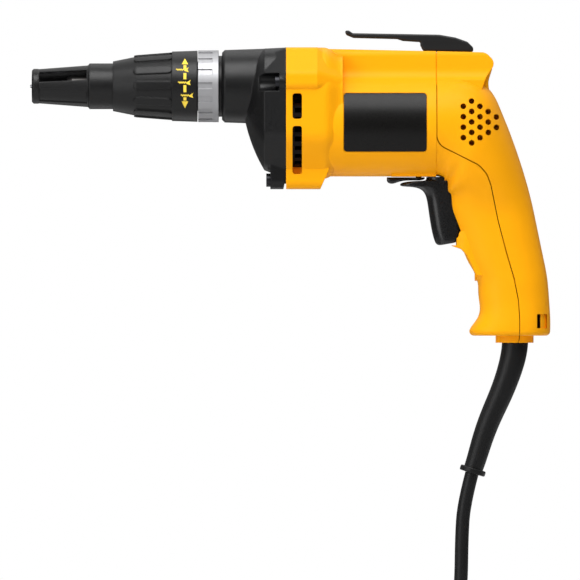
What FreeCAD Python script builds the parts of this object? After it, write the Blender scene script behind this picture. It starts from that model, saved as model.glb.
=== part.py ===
import FreeCAD, Part
import math
import os

from FreeCAD import Vector

# Corded drywall screwdriver, in millimetres.
# The nose points to -X, up is +Z, and the origin is in the middle of the hand grip.

# Gear train, which sets how far the spindle lies above the motor
gear_module = 1.0
pinion_tooth_count = 9
gear_tooth_count = 37
tooth_shift_share = 0.45
tooth_root_share = 1.25
tooth_backlash = 0.2
pressure_angle_degrees = 20.0
gear_width = 7.5
pinion_width = 9.0

# Main axes and joint planes
spindle_height = 96.6
joint_x = -126.2
seam_x = -37.8

# Clearances shared by several pieces
running_gap = 0.06
slide_gap = 0.3
seam_gap = 0.4
face_gap = 0.5
overrun = 3.0

# Motor housing
body_radius = 30.2
body_wall = 2.6
block_length = 22.2
block_taper_length = 11.2
block_taper_depth = 5.0
block_taper_step_count = 8
flange_top = 22.6
flange_top_half_width = 20.0
flange_shoulder = 1.0
flange_half_width = 32.5
flange_hip = 31.0
flange_foot = 54.5
flange_foot_half_width = 15.0
flange_corner_radius = 15.0
foot_depth = 60.6
foot_half_width = 19.0
foot_length = 25.2
foot_chamfer_length = 5.0
foot_corner_radius = 5.0
boss_radius = 5.2
boss_length = 18.4
boss_side = 29.2
boss_lift = 2.0
shoulder_inset = 4.0
web_thickness = 6.0
web_vent_count = 4
pad_drop = 0.15
pad_half_width = 9.5
pad_front_x = -64.0

# Spine along the top, ending in a beak over the tail
spine_front_top = 119.0
spine_rear_top = 116.3
spine_half_width = 10.5
spine_edge_radius = 5.0
spine_blend_radius = 8.0
beak_reach = 35.2
beak_drop = 6.0
beak_height = 15.0
neck_half_width = 7.5
neck_edge_radius = 2.5
neck_hollow_radius = 10.0
neck_shares = [(-0.21, -0.40), (-0.05, -0.52), (-0.15, -1.15), (-0.10, -1.90), (-0.32, -2.40),
               (-0.50, -1.00)]

# Elbow from the motor barrel to the grip, as rows of turn in degrees, inner, outer and width
elbow_radius = 13.4
tail_step = 0.2
tail_lead_shares = [0.40, 0.20, 0.00]
elbow_shares = [
    (65.0, 0.182, 1.200, 0.975),
    (45.0, 0.146, 0.993, 0.925),
    (25.0, 0.126, 0.902, 0.820),
    (5.0, 0.1225, 0.911, 0.690),
]
elbow_corner_share = 0.94

# Grip, as rows of fall, front, rear and width
grip_drop = 5.4
grip_length = 88.5
grip_depth = 42.0
grip_half_width = 16.8
grip_corner_share = 0.86
grip_shares = [
    (0.158, -0.714, 0.467, 1.060),
    (0.271, -0.633, 0.517, 1.010),
    (0.429, -0.520, 0.586, 1.000),
    (0.565, -0.386, 0.645, 1.000),
    (0.746, -0.300, 0.688, 1.000),
    (0.847, -0.290, 0.702, 1.030),
    (0.938, -0.400, 0.707, 1.080),
    (1.000, -0.417, 0.700, 1.095),
]
heel_edge_radius = 2.6
oval_point_count = 20
flank_point_count = 5
quarter_count = 4
corner_share = 0.45
rear_degrees = 0.0
front_degrees = 180.0
lip_height = 4.2
lip_half_depth = 11.2
lip_half_width = 10.2
shelf_half_width = 11.5
shelf_round_share = 0.95
shelf_edge_radius = 3.0
shelf_shares = [
    (0.393, -0.738),
    (0.423, -0.545),
    (0.462, -0.470),
    (0.525, -0.405),
    (0.600, -0.340),
    (0.600, -0.200),
    (0.300, -0.200),
    (0.300, -0.570),
    (0.345, -0.590),
]

# Seam between motor housing and handle cover, as rows of fall and reach
seam_shares = [
    (-0.214, -0.660),
    (-0.164, -0.452),
    (-0.130, -0.310),
    (-0.072, -0.200),
    (0.005, -0.140),
    (0.243, -0.036),
    (0.454, 0.081),
    (0.623, 0.186),
    (0.763, 0.245),
    (0.889, 0.264),
    (1.107, 0.264),
]
seam_start_share = -0.271
seam_corner_radius = 9.0

# Openings in the housings
slot_front = 3.8
slot_width = 5.5
slot_corner_radius = 1.6
slot_inner = 12.0
upper_slot_low = 3.3
upper_slot_high = 18.3
lower_slot_low = -29.0
lower_slot_high = -0.9
vent_radius = 1.65
vent_pitch = 6.15
vent_column_pitch = 4.9
vent_front = 15.7
vent_lift = 1.45
vent_column_counts = [4, 5, 4, 3, 2]
vent_rib_thickness = 1.6
vent_rib_fall = 16.0
vent_rib_rise = 20.0
latch_width = 5.9
latch_height = 8.2
latch_rise = 4.4
latch_inset = 5.2
latch_depth = 1.1
latch_slit_width = 1.9
handle_screw_fall_share = 0.565
handle_screw_head_radius = 4.2
handle_screw_head_length = 3.0
handle_screw_radius = 2.0
handle_screw_length = 25.0
handle_screw_recess = 4.0
handle_screw_grip = 5.0
handle_screw_boss_radius = 6.2

# Name plate
plate_front = 34.0
plate_length = 48.5
plate_low = -15.8
plate_high = 18.4
plate_thickness = 0.65
plate_recess = 0.4
plate_margin = 0.25
plate_corner_radius = 1.8

# Gear case
case_length = 37.8
case_collar_radius = 21.4
case_edge_radius = 1.6
case_bowl_length = 23.8
case_crease = 12.8
case_crown_drop = 0.6
case_wall = 3.0
case_bowl_middle_reach = 0.62
case_bowl_middle_share = 0.72
case_bowl_end_share = 0.45
case_foot_length = 9.3
case_pocket_depth = 8.0
spigot_radius = 18.0
spigot_length = 2.0
ring_seat_radius = 16.0
register_radius = 14.5
register_length = 18.0
spigot_bore_radius = 7.1
gear_room = 0.8
jaw_room = 1.0

# Gear case screws
case_screw_radius = 2.0
case_screw_head_radius = 3.8
case_screw_head_length = 2.4
case_screw_grip = 16.0
lower_screw_side = 12.5
lower_screw_drop = 55.4

# Bearing plate and bearings
plate_wall_gap = 0.3
bearing_plate_thickness = 5.0
bearing_seat_wall = 2.0
bearing_seat_length = 3.0
front_bearing_radius = 11.0
front_bearing_bore = 4.0
front_bearing_width = 7.0
rear_bearing_radius = 9.5
rear_bearing_bore = 3.0
rear_bearing_width = 6.0
ring_wall_share = 0.28
ball_count = 8
bush_wall = 2.6
front_bush_length = 12.0
rear_bush_length = 7.0

# Spindle, jaw clutch and spring
spindle_radius = 5.0
spindle_tail_radius = 4.0
spindle_travel = 3.0
jaw_outer_radius = 15.0
jaw_inner_radius = 10.6
jaw_plate_thickness = 3.2
jaw_height = 2.4
jaw_count = 3
jaw_sweep_degrees = 46.0
jaw_tip_gap = 1.0
gear_plate_gap = 1.0
gear_face_setback = 0.6
clutch_spring_wire = 0.9
clutch_spring_radius = 8.6
clutch_spring_turn_count = 2

# Bit holder and bit
holder_radius = 6.3
holder_length = 58.0
holder_nose_length = 3.0
holder_nose_radius = 4.8
holder_rear_gap = 1.5
stud_radius = 3.6
stud_length = 12.0
hex_side_count = 6
hex_across_flats = 6.35
hex_gap = 0.08
socket_depth = 9.5
magnet_radius = 2.6
magnet_length = 3.0
bit_shank_length = 16.5
bit_neck_radius = 2.7
bit_cone_length = 3.0
bit_point_length = 4.6
bit_point_radius = 0.7
bit_flute_count = 4
bit_flute_width = 1.5
bit_flute_reach_share = 0.42

# Nose: ring, locator sleeve, collar and nosepiece
ring_length = 12.0
ring_radius = 21.2
ring_notch_count = 16
ring_notch_width = 3.6
ring_notch_depth = 0.8
ring_rim_share = 0.3
collar_gap = 0.5
collar_length = 49.8
collar_front_radius = 14.7
collar_cone_radius = 17.5
collar_cone_length = 14.0
collar_low_radius = 19.1
collar_high_radius = 20.5
collar_rear_radius = 21.0
collar_smooth_length = 15.0
collar_finger_count = 12
collar_finger_width = 5.0
collar_finger_rise = 0.9
collar_finger_lead = 1.6
sleeve_length = 24.0
sleeve_wall = 1.9
nose_reach = 47.8
nose_tube_radius = 13.5
nose_tube_length = 14.8
nose_cone_rear_radius = 12.3
nose_neck_radius = 10.1
nose_rim_radius = 10.3
nose_rim_length = 3.8
nose_rim_edge = 1.0
nose_wall = 2.0
nose_mouth_radius = 6.9
nose_rear_gap = 5.0
nose_window_count = 2
nose_window_width = 7.0
nose_window_degrees = 34.0
nose_window_margin = 0.6
nose_panel_width = 8.5
nose_panel_depth = 0.5
nose_panel_degrees = -36.0
bit_protrusion = 1.1

# Motor
shaft_radius = 4.6
shaft_nose_radius = 2.6
fan_gap = 2.0
fan_radius = 25.0
fan_width = 10.0
fan_hub_radius = 8.0
fan_plate_thickness = 1.5
fan_blade_count = 12
fan_blade_thickness = 1.6
shroud_wall = 1.3
shroud_bar_count = 30
shroud_bar_share = 0.45
shroud_rim = 1.8
baffle_thickness = 1.6
baffle_bore_radius = 20.0
stack_length = 34.0
stack_rear_gap = 22.0
stack_yoke = 4.0
pole_gap = 0.6
pole_spread_degrees = 96.0
coil_overhang = 6.5
coil_gap = 0.25
coil_split = 0.8
core_radius = 17.6
core_slot_count = 12
core_slot_width = 2.4
core_slot_depth = 8.0
core_lip = 1.2
winding_radius = 15.6
winding_inner_radius = 8.0
winding_overhang = 6.0
commutator_radius = 10.0
commutator_length = 11.0
commutator_gap = 2.0
commutator_bar_count = 24
commutator_groove = 0.45
commutator_groove_depth = 0.9
brush_length = 9.0
brush_width = 6.0
brush_height = 5.0
brush_holder_wall = 1.0
brush_gap = 0.2
brush_spring_radius = 2.0
brush_spring_wire = 0.5
brush_spring_turn_count = 4
wire_side_count = 8

# Trigger, lever and switch
trigger_front_x = -57.8
trigger_depth = 34.2
trigger_low = 3.2
trigger_height = 37.5
trigger_half_width = 8.0
trigger_round = 7.0
trigger_face_foot_index = 10
trigger_corner_radius = 5.0
trigger_shares = [
    (0.000, 0.920),
    (0.030, 0.976),
    (0.345, 1.000),
    (0.430, 1.000),
    (0.450, 1.058),
    (0.830, 1.058),
    (0.930, 0.848),
    (1.050, 0.181),
    (0.930, 0.050),
    (0.594, 0.000),
    (0.530, 0.100),
    (0.447, 0.448),
    (0.374, 0.808),
    (0.257, 0.918),
]
trigger_travel = 6.0
plunger_radius = 3.2
plunger_fall = 16.0
plunger_length = 17.0
lever_front_x = -66.9
lever_finger_length = 6.2
lever_finger_half_width = 2.6
lever_finger_height = 3.4
lever_arm_thickness = 1.9
lever_arm_half_width = 2.2
lever_pivot_x = -48.0
lever_hub_radius = 4.0
lever_pin_radius = 2.0
lever_pin_length = 3.8
switch_front_x = -15.5
switch_length = 26.0
switch_half_width = 9.0
switch_low = 7.0
switch_height = 30.0
switch_edge_radius = 1.5
switch_rail_margin = 5.0
switch_rail_length = 9.0
switch_rail_height = 20.0

# Belt hook
hook_rear_x = -15.9
hook_length = 75.8
hook_height = 11.4
hook_half_width = 8.0
hook_corner_radius = 2.0
hook_edge_radius = 1.1
hook_shares = [
    (0.000, 0.960),
    (0.032, 0.985),
    (0.062, 0.845),
    (0.735, 0.865),
    (0.860, 0.740),
    (0.955, 0.530),
    (1.000, 0.240),
    (1.000, 0.000),
    (0.615, 0.000),
    (0.590, 0.300),
    (0.590, 0.480),
    (0.455, 0.520),
    (0.410, 0.610),
    (0.070, 0.620),
    (0.014, 0.760),
]
hook_screw_shares = [0.660, 0.850]
hook_screw_radius = 1.8
hook_screw_head_radius = 3.4
hook_screw_head_length = 2.0
hook_screw_length = 12.0

# Cord boot, as hand-chosen places along its middle, and the cord below it
boot_route = [(8.6, -49.0), (8.6, -57.8), (5.3, -72.0), (0.0, -86.1), (-6.2, -100.3), (-11.2, -114.5),
              (-15.6, -128.6)]
boot_top_radius = 7.7
boot_end_radius = 5.7
boot_flange_radius = 7.7
boot_flange_thickness = 3.2
boot_head_radius = 9.4
boot_head_height = 2.6
cord_diameter = 8.2
cord_route = [
    (-21.4, 0.0, -150.0),
    (-22.6, 0.0, -170.0),
    (-22.9, 0.0, -195.0),
    (-25.0, 0.0, -221.0),
    (-39.0, 0.0, -244.0),
    (-62.5, 0.0, -257.5),
    (-88.0, -3.0, -259.6),
    (-110.0, -14.0, -260.0),
    (-131.0, -25.0, -260.0),
    (-150.0, -27.0, -260.0),
]
cord_arc_share = 0.45
coil_pitch = 8.8
coil_inner_radius = 33.5
coil_spiral_turn_count = 3.25
coil_climb_turn_count = 0.5
coil_way_step = 1.0 / 4096
coil_check_count = 48
coil_tail_length = 36.0
cord_end_length = 26.0
clamp_height = 7.0
clamp_depth = 7.5
clamp_half_width = 11.0
clamp_rise = 12.0
clamp_screw_radius = 1.4
clamp_screw_side = 7.6
clamp_screw_head_radius = 2.6
clamp_screw_head_length = 1.8
clamp_screw_length = 12.0
tie_width = 4.0
tie_thickness = 1.2
tie_gap = 0.2
plug_neck_length = 15.0
plug_neck_radius = 6.0
plug_length = 30.0
plug_height = 25.4
plug_half_width = 9.0
plug_edge_radius = 4.0
blade_length = 17.0
blade_width = 6.3
blade_thickness = 1.5
blade_spacing = 12.7

# Heights and stations that follow from the sizes above
gear_centres = gear_module * (pinion_tooth_count + gear_tooth_count) / 2
motor_height = spindle_height - gear_centres
bore_radius = body_radius - body_wall
tail_radius = body_radius - tail_step
elbow_height = motor_height - body_radius - elbow_radius
grip_top = motor_height - body_radius - grip_drop
heel_height = grip_top - grip_length
case_front_x = joint_x - case_length
ring_rear_x = case_front_x - spigot_length
ring_front_x = ring_rear_x - ring_length
collar_rear_x = ring_front_x - collar_gap
collar_front_x = collar_rear_x - collar_length
nose_front_x = collar_front_x - nose_reach
register_front_x = ring_front_x - register_length
bit_tip_x = nose_front_x - bit_protrusion
plate_rear_x = joint_x
plate_front_x = joint_x - bearing_plate_thickness
gear_rear_x = plate_front_x - gear_plate_gap
gear_front_x = gear_rear_x - gear_width
jaw_face_x = gear_front_x - jaw_height - jaw_tip_gap - jaw_height
jaw_front_x = jaw_face_x - jaw_plate_thickness
fan_front_x = joint_x + bearing_seat_length + fan_gap
fan_rear_x = fan_front_x + fan_width
web_front_x = seam_x - web_thickness
stack_rear_x = web_front_x - stack_rear_gap
stack_front_x = stack_rear_x - stack_length
boss_height = spindle_height + boss_lift
lower_screw_height = spindle_height - lower_screw_drop
sleeve_inner_radius = register_radius + slide_gap
sleeve_outer_radius = sleeve_inner_radius + sleeve_wall
sleeve_front_x = collar_rear_x - sleeve_length
holder_rear_x = register_front_x - holder_rear_gap
holder_front_x = holder_rear_x - holder_length
socket_end_x = holder_front_x + socket_depth
trigger_top = trigger_low + trigger_height
pad_height = motor_height - body_radius - pad_drop
along = Vector(1, 0, 0)
across = Vector(0, 1, 0)
upward = Vector(0, 0, 1)


def bar(radius, start_x, end_x, height, side=0.0):
    """Round bar along X."""
    return Part.makeCylinder(radius, end_x - start_x, Vector(start_x, side, height), along)


def tube(outer, inner, start_x, end_x, height):
    """Round tube along X."""
    return bar(outer, start_x, end_x, height).cut(bar(inner, start_x - overrun, end_x + overrun, height))


def block(low, high):
    """Box between two corners."""
    size = Vector(*high) - Vector(*low)
    return Part.makeBox(size.x, size.y, size.z, Vector(*low))


def turned(points, height):
    """Solid turned about an X axis from (x, radius) points."""
    places = [Vector(x, 0, height + radius) for x, radius in points]
    face = Part.Face(Part.makePolygon(places + places[:1]))
    return face.revolve(Vector(0, 0, height), along, 360)


def spread(shape, count, height, start_degrees=0.0):
    """Copies of a shape spread round an X axis."""
    copies = []
    for index in range(count):
        copy = shape.copy()
        copy.rotate(Vector(0, 0, height), along, start_degrees + 360.0 * index / count)
        copies.append(copy)
    return copies


def joined(shapes):
    """One solid out of several that overlap."""
    return shapes[0].multiFuse(shapes[1:]).removeSplitter()


def softened(shape, radius, chosen):
    """Shape with the edges that the rule picks rounded."""
    return shape.makeFillet(radius, [edge for edge in shape.Edges if chosen(edge)])


def mirrored(shape):
    """The other side's copy of a shape."""
    return shape.mirror(Vector(0, 0, 0), across)


def both_sides(shape):
    """A shape and its other side's copy."""
    return [shape, mirrored(shape)]


def side_view(side):
    """Places outline points (x, z) in the plane y = side."""
    return lambda point: Vector(point.x, side, point.y)


def cross_view(x, height):
    """Places outline points (y, z above height) in the plane at x."""
    return lambda point: Vector(x, point.x, height + point.y)


def plan_view(height):
    """Places outline points (x, y) in the plane z = height."""
    return lambda point: Vector(point.x, point.y, height)


def outline(points, radius, place):
    """Closed wire of straight sides joined by tangent arcs."""
    corners = []
    for index, point in enumerate(points):
        here = Vector(*point, 0)
        back = Vector(*points[index - 1], 0) - here
        ahead = Vector(*points[(index + 1) % len(points)], 0) - here
        half = back.getAngle(ahead) / 2
        reach = min(radius / math.tan(half), corner_share * min(back.Length, ahead.Length))
        back.normalize()
        ahead.normalize()
        bisector = (back + ahead).normalize()
        middle = reach / math.cos(half) - reach * math.tan(half)
        corners.append((here + back * reach, here + bisector * middle, here + ahead * reach))
    edges = []
    for index, (start, middle, end) in enumerate(corners):
        edges.append(Part.Arc(place(start), place(middle), place(end)).toShape())
        following = corners[(index + 1) % len(corners)][0]
        edges.append(Part.LineSegment(place(end), place(following)).toShape())
    return Part.Wire(edges)


def side_slab(points, radius, half_width):
    """Outline seen from the side, given its width."""
    wire = outline(points, radius, side_view(-half_width))
    return Part.Face(wire).extrude(across * (2 * half_width))


def oval(centre, way, half_depth, half_width, corner_share, start_degrees):
    """Closed curve between an ellipse and a rounded box."""
    places = []
    for index in range(oval_point_count):
        angle = 2 * math.pi * index / oval_point_count + math.radians(start_degrees)
        deep = math.copysign(abs(math.cos(angle)) ** corner_share, math.cos(angle))
        wide = math.copysign(abs(math.sin(angle)) ** corner_share, math.sin(angle))
        places.append(centre + way * (deep * half_depth) + across * (wide * half_width))
    curve = Part.BSplineCurve()
    steps = [float(index) for index in range(oval_point_count + 1)]
    curve.interpolate(Points=places, Parameters=steps, PeriodicFlag=True)
    return Part.Wire(curve.toShape())


def grip_point(fall_share, reach_share):
    """Place in the side view, as shares of the grip's length and depth."""
    return (grip_depth * reach_share, grip_top - grip_length * fall_share)


def grip_form(inset, start_degrees):
    """Elbow and grip as one smooth form, drawn in by a wall, with its surface closed at one side."""
    radius = tail_radius - inset
    rings = []
    for lead_share in tail_lead_shares:
        x = seam_x - body_radius * lead_share
        rings.append(oval(Vector(x, 0, motor_height), upward, radius, radius, 1.0, start_degrees))
    pivot = Vector(seam_x, 0, elbow_height)
    for degrees, inner_share, outer_share, width_share in elbow_shares:
        turn = math.radians(degrees)
        way = Vector(math.cos(turn), 0, math.sin(turn))
        middle = pivot + way * (body_radius * (inner_share + outer_share))
        half_depth = body_radius * (outer_share - inner_share) - inset
        half_width = body_radius * width_share - inset
        rings.append(oval(middle, way, half_depth, half_width, elbow_corner_share, start_degrees))
    for fall_share, front_share, rear_share, width_share in grip_shares:
        x, height = grip_point(fall_share, (front_share + rear_share) / 2)
        middle = Vector(x, 0, max(height, heel_height + inset))
        half_depth = grip_depth * (rear_share - front_share) / 2 - inset
        half_width = grip_half_width * width_share - inset
        rings.append(oval(middle, along, half_depth, half_width, grip_corner_share, start_degrees))
    behind_seam = block((seam_x, -2 * body_radius, heel_height - overrun),
                        (2 * grip_depth, 2 * body_radius, 2 * spindle_height))
    return Part.makeLoft(rings, True, False).common(behind_seam)


def spine_top(x):
    """Height of the spine's top, which falls a little to the rear."""
    share = (x - joint_x) / (seam_x + beak_reach - joint_x)
    return spine_front_top + (spine_rear_top - spine_front_top) * share


def spine_form():
    """Ridge along the top with hollow flanks, ending in a rounded beak."""
    rear_x = seam_x + beak_reach
    flank = spine_half_width + spine_blend_radius
    reach = body_radius + spine_blend_radius
    rise = math.sqrt(reach ** 2 - flank ** 2)
    foot = Vector(flank, rise, 0) * (body_radius / reach)
    turn = (math.pi + math.atan2(foot.y - rise, foot.x - flank) % (2 * math.pi)) / 2
    hollow = Vector(flank + spine_blend_radius * math.cos(turn),
                    rise + spine_blend_radius * math.sin(turn), 0)
    top = spine_front_top - motor_height
    place = cross_view(joint_x, motor_height)
    flank_top = Vector(spine_half_width, rise, 0)
    peak = Vector(spine_half_width, top, 0)
    right = [flank_top, hollow, foot]
    left = [Vector(-point.x, point.y, 0) for point in right]
    keel = [Vector(foot.x, 0, 0), Vector(-foot.x, 0, 0)]
    edges = [
        Part.Arc(*[place(point) for point in right]).toShape(),
        Part.makePolygon([place(point) for point in [right[2], keel[0], keel[1], left[2]]]),
        Part.Arc(*[place(point) for point in reversed(left)]).toShape(),
        Part.makePolygon([place(point) for point in [left[0], Vector(-peak.x, peak.y, 0), peak, right[0]]]),
    ]
    ridge = Part.Face(Part.Wire(Part.__sortEdges__([edge for part in edges for edge in part.Edges])))
    ridge = ridge.extrude(along * (rear_x - joint_x))
    ridge = softened(ridge, spine_edge_radius,
                     lambda edge: edge.BoundBox.ZMin > motor_height + top - running_gap
                     and edge.BoundBox.XLength > spine_half_width)
    side_points = [
        (joint_x - overrun, motor_height),
        (joint_x - overrun, spine_top(joint_x - overrun)),
        (rear_x - beak_drop, spine_top(rear_x - beak_drop)),
        (rear_x, spine_rear_top - beak_drop),
        (rear_x - beak_drop, spine_rear_top - beak_height),
        (rear_x - beak_height, motor_height),
    ]
    side = side_slab(side_points, beak_drop, 2 * body_radius)
    neck_points = [(rear_x + body_radius * reach, spine_rear_top + beak_height * rise) for reach,
                   rise in neck_shares]
    neck = side_slab(neck_points, neck_hollow_radius, neck_half_width)
    neck = softened(neck, neck_edge_radius, lambda edge: edge.BoundBox.YLength < running_gap)
    plan_points = [
        (joint_x - overrun, -body_radius),
        (joint_x - overrun, body_radius),
        (rear_x - 2 * beak_height, body_radius),
        (rear_x, spine_half_width),
        (rear_x, -spine_half_width),
        (rear_x - 2 * beak_height, -body_radius),
    ]
    plan = Part.Face(outline(plan_points, beak_drop, plan_view(0))).extrude(upward * (2 * spine_front_top))
    return joined([ridge.common(side).common(plan), neck])


def flange_outline(x, inset):
    """Cross-section where gear case and motor housing meet, drawn in by an inset."""
    points = [
        (flange_top_half_width - inset / 2, flange_top - inset),
        (flange_half_width - inset, flange_shoulder),
        (flange_half_width - inset, -flange_hip),
        (flange_foot_half_width - inset / 2, -flange_foot + inset),
    ]
    points += [(-side, height) for side, height in reversed(points)]
    return outline(points, flange_corner_radius - inset / 2, cross_view(x, spindle_height))


def shoulder_outline(x, inset):
    """Cross-section over the upper screw bosses, whose upper sides run up to the top."""
    points = [
        (flange_top_half_width - inset / 2, flange_top - inset),
        (boss_side + boss_radius - inset, boss_lift + boss_radius - inset / 2),
        (boss_side + boss_radius - inset, boss_lift - boss_radius),
    ]
    points += [(-side, height) for side, height in reversed(points)]
    return outline(points, boss_radius, cross_view(x, spindle_height))


def front_block():
    """Block behind the gear case, drawn in smoothly to the barrel."""
    rings = [flange_outline(joint_x, 0.0)]
    for step in range(block_taper_step_count + 1):
        share = step / block_taper_step_count
        inset = block_taper_depth * (1 - math.cos(math.pi * share)) / 2
        rings.append(flange_outline(joint_x + block_length + block_taper_length * share, inset))
    return Part.makeLoft(rings, True, True)


def shoulder_form():
    """Two upper screw bosses with their flush upper sides, which run out to the rear."""
    end_x = joint_x + boss_length
    run_out_x = joint_x + block_length + block_taper_length
    straight = Part.makeLoft([shoulder_outline(joint_x, 0.0), shoulder_outline(end_x, 0.0)], True, True)
    run_out = Part.makeLoft([shoulder_outline(end_x, 0.0),
                             shoulder_outline(run_out_x, 2 * shoulder_inset)], True, True)
    return joined([straight, run_out])


def foot_block(front_x, rear_x, chamfer_length):
    """Low block for the two lower screws, sloped off to the rear."""
    low = spindle_height - foot_depth
    half = foot_half_width
    section = [(-half, low), (half, low), (half, motor_height), (-half, motor_height)]
    slab = Part.Face(outline(section, foot_corner_radius,
                             cross_view(front_x, 0.0))).extrude(along * (rear_x - front_x))
    side = [
        (front_x, low - overrun),
        (rear_x - chamfer_length, low - overrun),
        (rear_x - chamfer_length, low),
        (rear_x, low + foot_depth - flange_foot + chamfer_length),
        (rear_x, motor_height),
        (front_x, motor_height),
    ]
    corners = [Vector(x, -2 * half, height) for x, height in side]
    return slab.common(Part.Face(Part.makePolygon(corners + corners[:1])).extrude(across * (4 * half)))


def barrel_form():
    """Outside of the motor barrel with its front block, screw bosses and spine."""
    barrel = bar(body_radius, joint_x, seam_x, motor_height)
    foot = foot_block(joint_x, joint_x + foot_length, foot_chamfer_length)
    return joined([barrel, front_block(), shoulder_form(), foot, spine_form()])


def seam_region(shift):
    """Everything in front of the seam, moved back by the seam's gap."""
    far = 2 * grip_length
    points = [(seam_x, far), (seam_x, grip_top - grip_length * seam_start_share)]
    points += [grip_point(fall_share, reach_share) for fall_share, reach_share in seam_shares]
    points += [(joint_x - overrun, points[-1][1]), (joint_x - overrun, far)]
    region = side_slab(points, seam_corner_radius, 2 * body_radius)
    region.translate(Vector(shift, 0, shift))
    return region


def lip_form(start_degrees):
    """Low oval collar round the cord boot."""
    x = boot_route[0][0]
    centre = Vector(x, 0, heel_height - lip_height)
    wire = oval(centre, along, lip_half_depth, lip_half_width, grip_corner_share, start_degrees)
    return Part.Face(wire).extrude(upward * (lip_height + body_wall))


def hollow_form(start_degrees):
    """Inside of the tail and grip, with the hole for the boot."""
    x = boot_route[0][0]
    hole = Part.makeCylinder(boot_top_radius + slide_gap, lip_height + grip_length / 2,
                             Vector(x, 0, heel_height - lip_height - overrun))
    head = Part.makeCylinder(boot_head_radius + running_gap, boot_head_height + overrun,
                             Vector(x, 0, boot_route[0][1]))
    return joined([grip_form(body_wall, start_degrees), hole, head])


def side_slot(low, high):
    """Upright exhaust slots through both sides into the bore."""
    start_x = joint_x + slot_front
    end_x = start_x + slot_width
    slab = side_slab([(start_x, low), (end_x, low), (end_x, high), (start_x, high)], slot_corner_radius,
                     2 * body_radius)
    return slab.cut(block((start_x - overrun, -slot_inner, low - overrun),
                          (end_x + overrun, slot_inner, high + overrun)))


def vent_drills():
    """Honeycomb of intake holes through both sides."""
    drills = []
    for column, count in enumerate(vent_column_counts):
        x = seam_x + vent_front + vent_column_pitch * column
        for row in range(count):
            height = motor_height + vent_lift + vent_pitch * (row - (count - 1) / 2)
            drills.append(Part.makeCylinder(vent_radius, 4 * body_radius,
                                            Vector(x, -2 * body_radius, height), across))
    return drills


def latch_pocket():
    """Small pocket for the latch, near the heel on both sides."""
    rear_x = grip_depth * grip_shares[-2][2] - latch_inset + latch_width / 2
    low = heel_height + latch_rise
    half = 2 * grip_half_width
    front_x = rear_x - latch_width
    pocket = block((front_x, -half, low), (rear_x, half, low + latch_height))
    slit = block((front_x, -half, low), (front_x + latch_slit_width, 0, low + latch_height))
    slit = slit.cut(grip_form(body_wall + face_gap, front_degrees))
    return joined([pocket.cut(grip_form(latch_depth, front_degrees)), slit])


def name_plate_slab(inner, outer, margin):
    """Curved plate on the barrel's sides."""
    start_x = joint_x + plate_front - margin
    end_x = start_x + plate_length + 2 * margin
    low = motor_height + plate_low - margin
    high = motor_height + plate_high + margin
    ring = tube(outer, inner, start_x - overrun, end_x + overrun, motor_height)
    points = [(start_x, low), (end_x, low), (end_x, high), (start_x, high)]
    return ring.common(side_slab(points, plate_corner_radius + margin, 2 * outer))


def handle_screw_axis():
    """Front end of the screw that ties the grip's front to its cover."""
    share = [row for row in grip_shares if row[0] == handle_screw_fall_share][0]
    x, height = grip_point(share[0], share[1])
    return Vector(x + handle_screw_recess, 0, height)


def shelf_form():
    """Lip under the trigger, rounded at its front."""
    slab = side_slab([grip_point(*pair) for pair in shelf_shares], shelf_edge_radius, shelf_half_width)
    front_x = slab.BoundBox.XMin
    half = shelf_half_width
    points = [(front_x, -half), (grip_depth, -half), (grip_depth, half), (front_x, half)]
    plan = Part.Face(outline(points, half * shelf_round_share, plan_view(slab.BoundBox.ZMin - overrun)))
    return slab.common(plan.extrude(upward * grip_length))


def motor_housing():
    """Front piece: motor barrel, trigger surround and front half of the grip."""
    shelf = shelf_form()
    pad = block((pad_front_x, -pad_half_width, pad_height),
                (seam_x, pad_half_width, motor_height - tail_radius / 2))
    grip = softened(grip_form(0.0, rear_degrees), heel_edge_radius,
                    lambda edge: edge.BoundBox.ZMax < heel_height + running_gap)
    form = joined([barrel_form(), grip, lip_form(rear_degrees), shelf, pad])
    form = form.common(seam_region(0.0))
    form = form.cut(bar(bore_radius, joint_x - overrun, seam_x, motor_height))
    form = form.cut(hollow_form(rear_degrees))
    web = bar(bore_radius + body_wall / 2, web_front_x, seam_x, motor_height)
    web = web.cut(bar(rear_bearing_radius, web_front_x - overrun, seam_x + overrun, motor_height))
    vent = block((web_front_x - overrun, rear_bearing_radius + body_wall,
                  motor_height - rear_bearing_radius),
                 (seam_x + overrun, bore_radius - body_wall, motor_height + rear_bearing_radius))
    web = web.cut(Part.makeCompound(spread(vent, web_vent_count, motor_height)))
    post_x = boot_route[0][0]
    saddle = block((post_x - clamp_depth, -grip_half_width + running_gap, heel_height + clamp_rise),
                   (post_x - running_gap, grip_half_width - running_gap,
                    heel_height + clamp_rise + clamp_height))
    saddle = saddle.common(grip_form(body_wall / 2, rear_degrees)).common(seam_region(0.0))
    saddle = saddle.cut(Part.makeCylinder(cord_diameter / 2, grip_length, Vector(post_x, 0, heel_height)))
    form = joined([form, web, saddle, handle_screw_boss()] + switch_rails())
    cuts = [side_slot(motor_height + lower_slot_low, motor_height + lower_slot_high)]
    cuts.append(side_slot(motor_height + upper_slot_low, motor_height + upper_slot_high))
    cuts.append(name_plate_slab(body_radius - plate_recess, body_radius + overrun, plate_margin))
    cuts.append(bar(rear_seat_radius() + slide_gap, joint_x - overrun,
                    joint_x + bearing_seat_length + slide_gap, spindle_height))
    cuts.append(trigger_room())
    cuts.append(lever_room())
    cuts += case_screw_holes()
    cuts += clamp_screw_holes()
    cuts += hook_screw_holes()
    cuts += handle_screw_hole()
    return form.cut(Part.makeCompound(cuts))


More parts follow.
